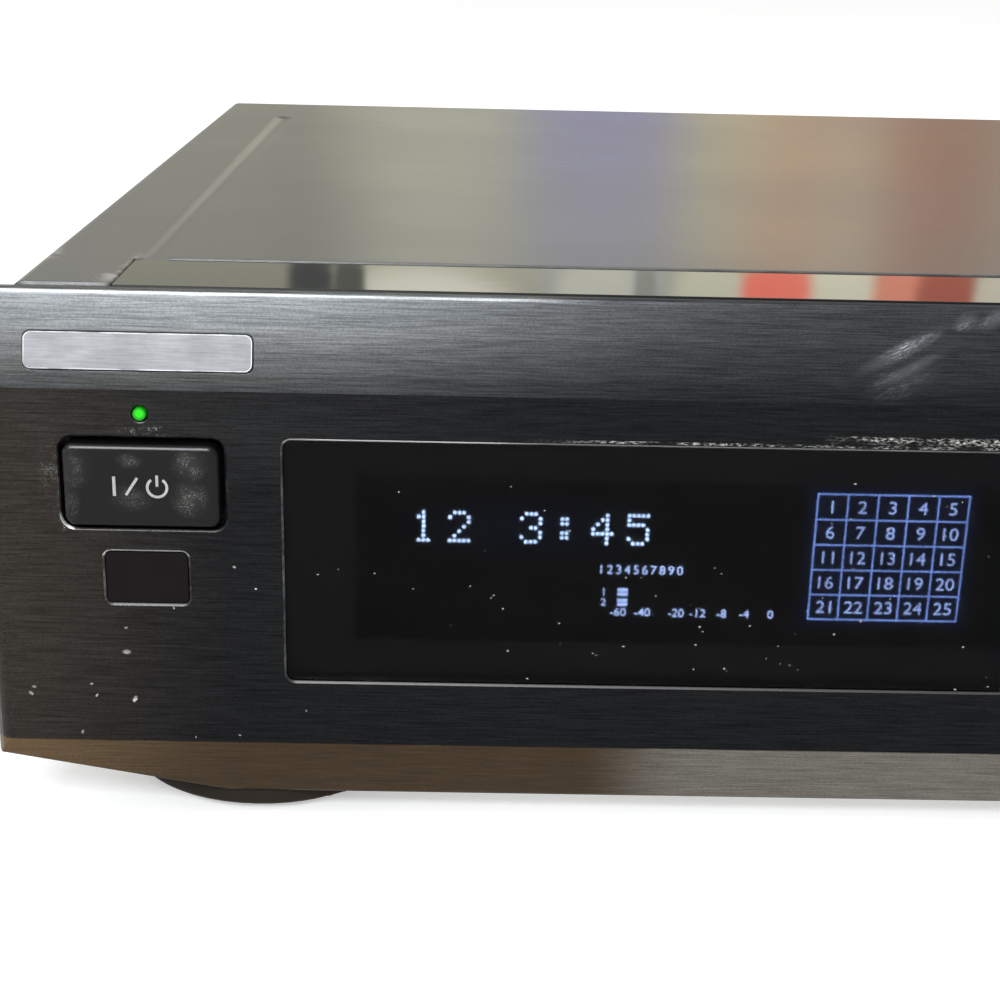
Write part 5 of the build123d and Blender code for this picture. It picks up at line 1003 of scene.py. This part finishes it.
def make_display():
    """The display tube: front glass, walls, back plate, filament wires and lit phosphors."""
    glass, dark = tube_glass(), tube_back()
    wall_front, back_front = TUBE_LOW.y + GLASS_WALL, PHOSPHOR_Y + PHOSPHOR_THICK
    left, right = TUBE_LOW.x + TUBE_RIM, TUBE_HIGH.x - TUBE_RIM

    case = bmesh.new()
    add_block(case, TUBE_LOW, (TUBE_HIGH.x, wall_front, TUBE_HIGH.z))
    envelope = soften(make_piece("display_glass", case, glass, "case"), 0.3 * MM)

    body = bmesh.new()
    add_block(body, (TUBE_LOW.x, back_front, TUBE_LOW.z), TUBE_HIGH)
    for low_x, low_z, high_x, high_z in [
        (TUBE_LOW.x, TUBE_LOW.z, left, TUBE_HIGH.z),
        (right, TUBE_LOW.z, TUBE_HIGH.x, TUBE_HIGH.z),
        (left, TUBE_LOW.z, right, TUBE_LOW.z + TUBE_RIM),
        (left, TUBE_HIGH.z - TUBE_RIM, right, TUBE_HIGH.z),
    ]:
        add_block(body, (low_x, wall_front, low_z), (high_x, back_front, high_z))
    back = make_piece("display_back", body, dark, "case")
    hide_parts("display_tube")
    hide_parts("display_tube")

    wires = bmesh.new()
    wire_y = wall_front + 0.25 * MM
    for share in (0.28, 0.5, 0.72):
        z = TUBE_LOW.z + (TUBE_HIGH.z - TUBE_LOW.z) * share
        low, high = z - WIRE_THICK / 2, z + WIRE_THICK / 2
        add_block(wires, (left, wire_y, low), (right, wire_y + WIRE_THICK, high))
    make_piece("display_filaments", wires, FINISHES["screw_black"], "case")

    for name, mesh, tint, colour, strength in [
        ("display_numbers", number_grid_figures(), "number_phosphor", (0.34, 0.48, 0.90), 4.4),
        ("display_grid", number_grid_lines(), "grid_phosphor", (0.19, 0.32, 0.78), 4.6),
        ("display_time", dot_figures(), "bright_phosphor", (0.50, 0.70, 1.0), 8.0),
        ("display_levels", level_scale(), "blue_white_phosphor", (0.40, 0.55, 0.92), 6.5),
    ]:
        make_piece(name, mesh, phosphor(tint, colour, strength), "case")


def add_lit(mesh, outline):
    """A flat phosphor."""
    add_plate(mesh, outline, PHOSPHOR_Y, PHOSPHOR_Y + PHOSPHOR_THICK)


def add_lit_figures(mesh, text, height, x, z, squeeze=1.0):
    """Phosphors in the shape of plain figures."""
    add_figures(mesh, text, height, x, z, PHOSPHOR_Y, PHOSPHOR_THICK, squeeze)


def number_grid_lines():
    """The lines round the numbers; the level ones start a hair behind, so no two faces meet."""
    mesh = bmesh.new()
    width, height = GRID_RIGHT - GRID_LEFT, GRID_HIGH - GRID_LOW
    middle_x, middle_z = (GRID_LEFT + GRID_RIGHT) / 2, (GRID_LOW + GRID_HIGH) / 2
    for i in range(GRID_COUNT + 1):
        x = GRID_LEFT + width * i / GRID_COUNT
        z = GRID_LOW + height * i / GRID_COUNT
        add_lit(mesh, rectangle(x, middle_z, GRID_LINE, height + GRID_LINE))
        flat = rectangle(middle_x, z, width, GRID_LINE * 0.98)
        add_plate(mesh, flat, PHOSPHOR_Y + 0.01 * MM, PHOSPHOR_Y + PHOSPHOR_THICK)
    return mesh


def number_grid_figures():
    """The numbers 1 to 25, row by row from the top."""
    mesh = bmesh.new()
    cell_x, cell_z = (GRID_RIGHT - GRID_LEFT) / GRID_COUNT, (GRID_HIGH - GRID_LOW) / GRID_COUNT
    for count in range(GRID_COUNT * GRID_COUNT):
        row, column = divmod(count, GRID_COUNT)
        x = GRID_LEFT + cell_x * (column + 0.5)
        z = GRID_HIGH - cell_z * (row + 0.5)
        add_lit_figures(mesh, str(count + 1), GRID_FIGURE, x, z, 1.05)
    return mesh


def dot_figures():
    """The time in five-by-seven dots."""
    mesh = bmesh.new()
    step_x = CELL_WIDTH / DOT_COLUMNS
    step_z = (DOT_HIGH - DOT_LOW) / DOT_ROWS
    radius = min(step_x, step_z) / 2 * DOT_FILL
    for cell, figure in enumerate(SHOWN_TIME):
        for row, line in enumerate(DOT_FIGURES[figure]):
            for column, mark in enumerate(line):
                if mark == "#":
                    x = DOT_LEFT + CELL_PITCH * cell + step_x * (column + 0.5)
                    z = DOT_HIGH - step_z * (row + 0.5)
                    add_lit(mesh, disc(x, z, radius, DOT_SIDES))
    return mesh


def level_scale():
    """Two short level bars, their scale of plain figures and a row of figures over it."""
    mesh = bmesh.new()
    scale_z = (SCALE_LOW + SCALE_HIGH) / 2
    for text, x in SCALE_FIGURES:
        add_lit_figures(mesh, text, (SCALE_HIGH - SCALE_LOW) * FIGURE_SHARE, x * MM, scale_z)
    for channel, (low, high) in zip("12", LEVEL_ROWS):
        middle, rise = (low + high) / 2, high - low
        for share in (-0.27, 0.27):
            z = middle + rise * share
            add_lit(mesh, rectangle(LEVEL_SQUARE_X, z, 1.7 * MM, rise * 0.42))
        add_lit_figures(mesh, channel, rise * 0.95, LEVEL_SQUARE_X - 3.2 * MM, middle)
    legend_z = (LEGEND_LOW + LEGEND_HIGH) / 2
    pitch = (LEGEND_RIGHT - LEGEND_LEFT) / len(LEGEND_FIGURES)
    for place, figure in enumerate(LEGEND_FIGURES):
        x = LEGEND_LEFT + pitch * (place + 0.5)
        add_lit_figures(mesh, figure, (LEGEND_HIGH - LEGEND_LOW) * FIGURE_SHARE, x, legend_z)
    return mesh


# Printed marks on the keys, knobs and fascia

# How far a print stands out of the surface under it, and how far it goes in
INK, INK_SINK = 0.03 * MM, 0.02 * MM


def printed_ink(name, colour):
    """Screen-printed ink, slightly worn."""
    return Finish(name, colour, 0.5).mottle(900.0, 0.82, 1.0).done()


def marks_on(node, outlines):
    """Printed plates, each laid on a CAD node's front surface."""
    mesh = bmesh.new()
    for outline in outlines:
        middle = Vector([sum(axis) / len(outline) for axis in zip(*outline)])
        y = min(surface_y(node, x, z) for x, z in [middle, *outline])
        add_plate(mesh, outline, y - INK, y + INK_SINK)
    return mesh


def power_marks():
    """A bar, a slanting stroke and an open ring with a bar, the usual signs for power."""
    ring_x, ring_z = -184.99 * MM, 63.3 * MM
    stroke = 0.44 * MM
    return [
        rectangle(-191.9 * MM, 63.45 * MM, 0.5 * MM, 3.3 * MM),
        stroke_between((-190.05 * MM, 61.98 * MM), (-188.14 * MM, 64.91 * MM), stroke),
        arc_strip(ring_x, ring_z, 1.58 * MM, stroke, 125, 415),
        rectangle(ring_x, ring_z + 1.15 * MM, stroke, 1.9 * MM),
    ]


ROW_Z, SKIP_Z, EJECT_X = 69 * MM, 54.5 * MM, 98.9 * MM


def triangle(x, z, size, direction=1):
    """A triangle that points right, or left with direction -1."""
    back, tip = x - direction * size * 0.45, x + direction * size * 0.55
    return [(back, z - size * 0.5), (tip, z), (back, z + size * 0.5)][::direction]


def key_marks():
    """The usual transport signs, by key: the CAD node and the outlines on it."""
    size, small = 2.4 * MM, 2.1 * MM
    half, base = size * 0.6, ROW_Z - 0.1 * MM
    return {
        "eject_button": [
            [(EJECT_X - half, base), (EJECT_X + half, base), (EJECT_X, ROW_Z + half)],
            rectangle(EJECT_X, ROW_Z - 0.75 * MM, size * 1.2, 0.5 * MM),
        ],
        "play_button": [triangle(119.5 * MM, ROW_Z, size)],
        "pause_button": [rectangle(x * MM, ROW_Z, 0.65 * MM, size) for x in (139.4, 140.6)],
        "stop_button": [rectangle(160.5 * MM, ROW_Z, size * 0.9, size * 0.9)],
        "rewind_button": [triangle(x * MM, SKIP_Z, small, -1) for x in (142.0, 144.0)],
        "forward_button": [triangle(x * MM, SKIP_Z, small) for x in (160.0, 162.0)],
        "record_button": [disc(152 * MM, 43 * MM, 1.2 * MM)],
    }


KNOB_TICKS, KNOB_SWEEP = 11, 300.0


def knob_degrees(step):
    """The angle of a tick round a knob; step 0 is at the lower left."""
    return 90 + KNOB_SWEEP / 2 - KNOB_SWEEP * step / (KNOB_TICKS - 1)


def knob_scale(x, z, radius, length, width=0.32 * MM):
    """Ticks round a knob, evenly over its turn, open at the bottom."""
    ticks = []
    for step in range(KNOB_TICKS):
        degrees = knob_degrees(step)
        start, end = around(x, z, radius, degrees), around(x, z, radius + length, degrees)
        ticks.append(stroke_between(start, end, width))
    return ticks


REC_X, REC_Z, REC_TICKS = 190 * MM, 60 * MM, 12.1 * MM
PHONES_X, PHONES_Z, PHONES_TICKS = 197 * MM, 27 * MM, 6.6 * MM


def make_marks():
    """All the printed signs and scales."""
    pale = printed_ink("pale_print", (0.46, 0.46, 0.45))
    red = printed_ink("red_print", (0.40, 0.02, 0.015))
    make_piece("power_marks", marks_on("power_button", power_marks()), pale, "power_button")
    for node, outlines in key_marks().items():
        ink = red if node == "record_button" else pale
        make_piece(node.replace("button", "marks"), marks_on(node, outlines), ink, node)
    scales = marks_on("fascia", knob_scale(REC_X, REC_Z, REC_TICKS, 1.1 * MM))
    for outline in knob_scale(PHONES_X, PHONES_Z, PHONES_TICKS, 0.9 * MM, 0.26 * MM):
        add_plate(scales, outline, FACE_Y - INK, FACE_Y + INK_SINK)
    for step in range(0, KNOB_TICKS, 2):
        x, z = around(REC_X, REC_Z, REC_TICKS + 2.7 * MM, knob_degrees(step))
        add_figures(scales, str(step), 1.6 * MM, x, z, FACE_Y - INK, INK + INK_SINK)
    make_piece("knob_scales", scales, pale, "case")
    for name, body, node, x, z, start, end in (
        ("rec_level_pointer", "rec_level", "rec_level_knob", REC_X, REC_Z, 4.2, 8.6),
        ("phones_level_pointer", "phones_level", "phones_level_knob", PHONES_X, PHONES_Z, 1.8, 4.2),
    ):
        line = stroke_between((x, z + start * MM), (x, z + end * MM), 0.6 * MM)
        make_piece(name, marks_on(node, [line]), pale, body)


# Camera and studio

CAMERA_PLACE = (-0.13414, -0.39210, 0.15364)
CAMERA_DOWN = 19.21
CAMERA_TURN = -0.976
CAMERA_ROLL = 1.380
CAMERA_LENS = 61.727
SENSOR_WIDTH = 36.0


def make_camera():
    """The camera where the photograph was taken from."""
    camera = bpy.data.cameras.new("camera")
    camera.sensor_width = SENSOR_WIDTH
    camera.lens = CAMERA_LENS
    camera.clip_start = 0.01
    holder = bpy.data.objects.new("camera", camera)
    turn = Matrix.Rotation(math.radians(CAMERA_TURN), 4, "Z")
    tip = Matrix.Rotation(math.radians(90 - CAMERA_DOWN), 4, "X")
    roll = Matrix.Rotation(math.radians(CAMERA_ROLL), 4, "Z")
    holder.matrix_world = Matrix.Translation(CAMERA_PLACE) @ turn @ tip @ roll
    bpy.context.scene.collection.objects.link(holder)
    bpy.context.scene.camera = holder


def seen_directly(tree):
    """1 for camera, glossy and transmission rays, else 0."""
    path = add(tree, "LightPath").outputs
    bright = maths(tree, "MAXIMUM", path["Is Camera Ray"], path["Is Glossy Ray"])
    return maths(tree, "MAXIMUM", bright, path["Is Transmission Ray"])


WORLD_LEVEL = 0.62
FLOOR_COLOUR = (0.80, 0.80, 0.79)
FLOOR_GLOW = 0.45
FLOOR_HALF_WIDTH = 9.0


def make_world():
    """An even pale surround, white where it is seen."""
    world = bpy.data.worlds.new("surround")
    bpy.context.scene.world = world
    world.use_nodes = True
    tree = world.node_tree
    level = add(tree, "MapRange", {0: seen_directly(tree), 3: WORLD_LEVEL, 4: 1.0}).outputs[0]
    background = tree.nodes["Background"]
    background.inputs["Color"].default_value = (1.0, 1.0, 1.0, 1.0)
    tree.links.new(level, background.inputs["Strength"])


def make_floor():
    """A wide pale floor that keeps the deck's shadow."""
    mesh = bmesh.new()
    bmesh.ops.create_grid(mesh, x_segments=2, y_segments=2, size=FLOOR_HALF_WIDTH)
    paper = Finish("pale_floor", FLOOR_COLOUR, 0.9, Specular_IOR_Level=0.0)
    paper.mottle(1.5, 0.99, 1.0)
    glow = maths(paper.tree, "MULTIPLY", seen_directly(paper.tree), FLOOR_GLOW)
    grey = add(paper.tree, "CombineColor", {0: glow, 1: glow, 2: glow}).outputs[0]
    floor = new_object("floor", mesh, paper.give_light(grey, 1.0).done())


# Where the lights in front point
FRONT_AIM = (-0.16, -0.126, 0.09)


def soft_light(name, place, aim, width, height, watts, colour=(1.0, 1.0, 1.0)):
    """A rectangular soft box that points at a place."""
    lamp = bpy.data.lights.new(name, "AREA")
    lamp.shape = "RECTANGLE"
    lamp.size, lamp.size_y = width, height
    lamp.energy = watts
    lamp.color = colour
    holder = bpy.data.objects.new(name, lamp)
    holder.location = place
    holder.rotation_euler = (Vector(aim) - Vector(place)).to_track_quat("-Z", "Y").to_euler()
    bpy.context.scene.collection.objects.link(holder)
    return holder


def band_highlight():
    """A soft box that only shows in reflections, high on the left, for the leaning band."""
    glow = soft_light(
        "band_highlight", (-0.62, -1.17, 1.20), FRONT_AIM, 0.92, 0.80, 88.0, (0.93, 0.97, 1.0)
    )
    glow.visible_diffuse = False
    glow.visible_transmission = False


# Soft panels of the room behind, which the top of the deck mirrors: left edge, colour.
ROOM_PANELS = [
    (-1.60, (0.64, 0.63, 0.54)),
    (-0.86, (0.66, 0.65, 0.52)),
    (-0.44, (0.93, 0.92, 0.70)),
    (-0.02, (0.92, 0.93, 0.84)),
    (0.28, (1.12, 0.97, 0.58)),
    (0.66, (0.66, 0.36, 0.20)),
    (0.92, (0.64, 0.48, 0.28)),
]
# Coloured things on the panels: x and z of the centre, reach along x and z, colour.
ROOM_SPOTS = [
    ((-0.24, 0.86), (0.26, 0.16), (1.75, 1.72, 1.42)),
    ((-0.465, 0.80), (0.060, 0.20), (0.14, 0.15, 0.14)),
    ((-0.388, 0.80), (0.040, 0.20), (0.22, 0.22, 0.19)),
    ((0.11, 0.80), (0.11, 0.15), (1.28, 1.28, 1.08)),
    ((0.205, 0.80), (0.030, 0.15), (0.66, 0.68, 0.58)),
    ((0.34, 0.80), (0.10, 0.15), (1.34, 1.33, 1.02)),
    ((0.60, 0.80), (0.12, 0.15), (1.56, 1.50, 1.16)),
    ((0.94, 0.80), (0.11, 0.15), (1.35, 1.25, 1.00)),
    ((0.47, 0.77), (0.090, 0.12), (2.00, 0.46, 0.33)),
    ((0.735, 0.77), (0.090, 0.12), (1.68, 0.62, 0.42)),
    ((0.81, 0.77), (0.075, 0.12), (0.90, 0.25, 0.17)),
    ((0.10, 0.40), (0.21, 0.16), (0.22, 0.15, 1.20)),
    ((0.60, 0.36), (0.20, 0.10), (0.78, 0.22, 0.14)),
]
ROOM_DISTANCE = 3.0
ROOM_LOW, ROOM_HIGH = 0.10, 1.05
ROOM_HALF_WIDTH = 2.4
PANEL_BLEND, PANEL_THICK = 0.035, 0.01


def room_panel_finish():
    """The light of the panels: a ramp across them, with the spots over it."""
    skin = Finish("room_panels", (0.0, 0.0, 0.0), 1.0, Specular_IOR_Level=0.0)
    across = add(skin.tree, "SeparateXYZ", {0: skin.position}).outputs[0]
    share = maths(skin.tree, "MULTIPLY_ADD", across, 0.5 / ROOM_HALF_WIDTH, 0.5)
    ramp = add(skin.tree, "ValToRGB", {0: share})
    stops = []
    for (left, colour), (following, _) in zip(
        ROOM_PANELS, ROOM_PANELS[1:] + [(ROOM_HALF_WIDTH, None)]
    ):
        stops += [(left + PANEL_BLEND, colour), (following - PANEL_BLEND, colour)]
    elements = ramp.color_ramp.elements
    while len(elements) < len(stops):
        elements.new(0.5)
    for element, (x, colour) in zip(elements, stops):
        element.position = (x + ROOM_HALF_WIDTH) / (2 * ROOM_HALF_WIDTH)
        element.color = (*colour, 1.0)
    skin.colour = ramp.outputs[0]
    for (x, z), (wide, high), colour in ROOM_SPOTS:
        skin.lay(skin.spot((x, ROOM_DISTANCE, z), (wide, 1.0, high), 0.6), colour)
    skin.give_light(skin.colour, 1.0)
    skin.colour = (0.0, 0.0, 0.0)
    return skin.done()


def make_room_panels():
    """A backdrop that only shows in reflections: vertical panels with soft edges."""
    mesh = bmesh.new()
    middle, height = (ROOM_LOW + ROOM_HIGH) / 2, ROOM_HIGH - ROOM_LOW
    outline = rectangle(0.0, middle, 2 * ROOM_HALF_WIDTH, height)
    add_plate(mesh, outline, ROOM_DISTANCE, ROOM_DISTANCE + PANEL_THICK)
    panels = new_object("room_panels", mesh, room_panel_finish())
    panels.visible_camera = False
    panels.visible_diffuse = False
    panels.visible_shadow = False
    panels.visible_transmission = False


def make_studio():
    """World, floor, reflected panels and three soft boxes."""
    bpy.context.scene.view_settings.view_transform = "Standard"
    make_world()
    make_floor()
    make_room_panels()
    soft_light(
        "window_light", (-0.43, -1.20, 0.98), FRONT_AIM, 0.60, 0.36, 13.0, (0.93, 0.98, 1.0)
    )
    soft_light("top_light", (0.3, 0.2, 1.6), (0.0, 0.0, 0.05), 1.2, 1.2, 9.0)
    band_highlight()


dress_nodes()
make_window()
make_window_dust()
make_display()
make_marks()
make_camera()
make_studio()
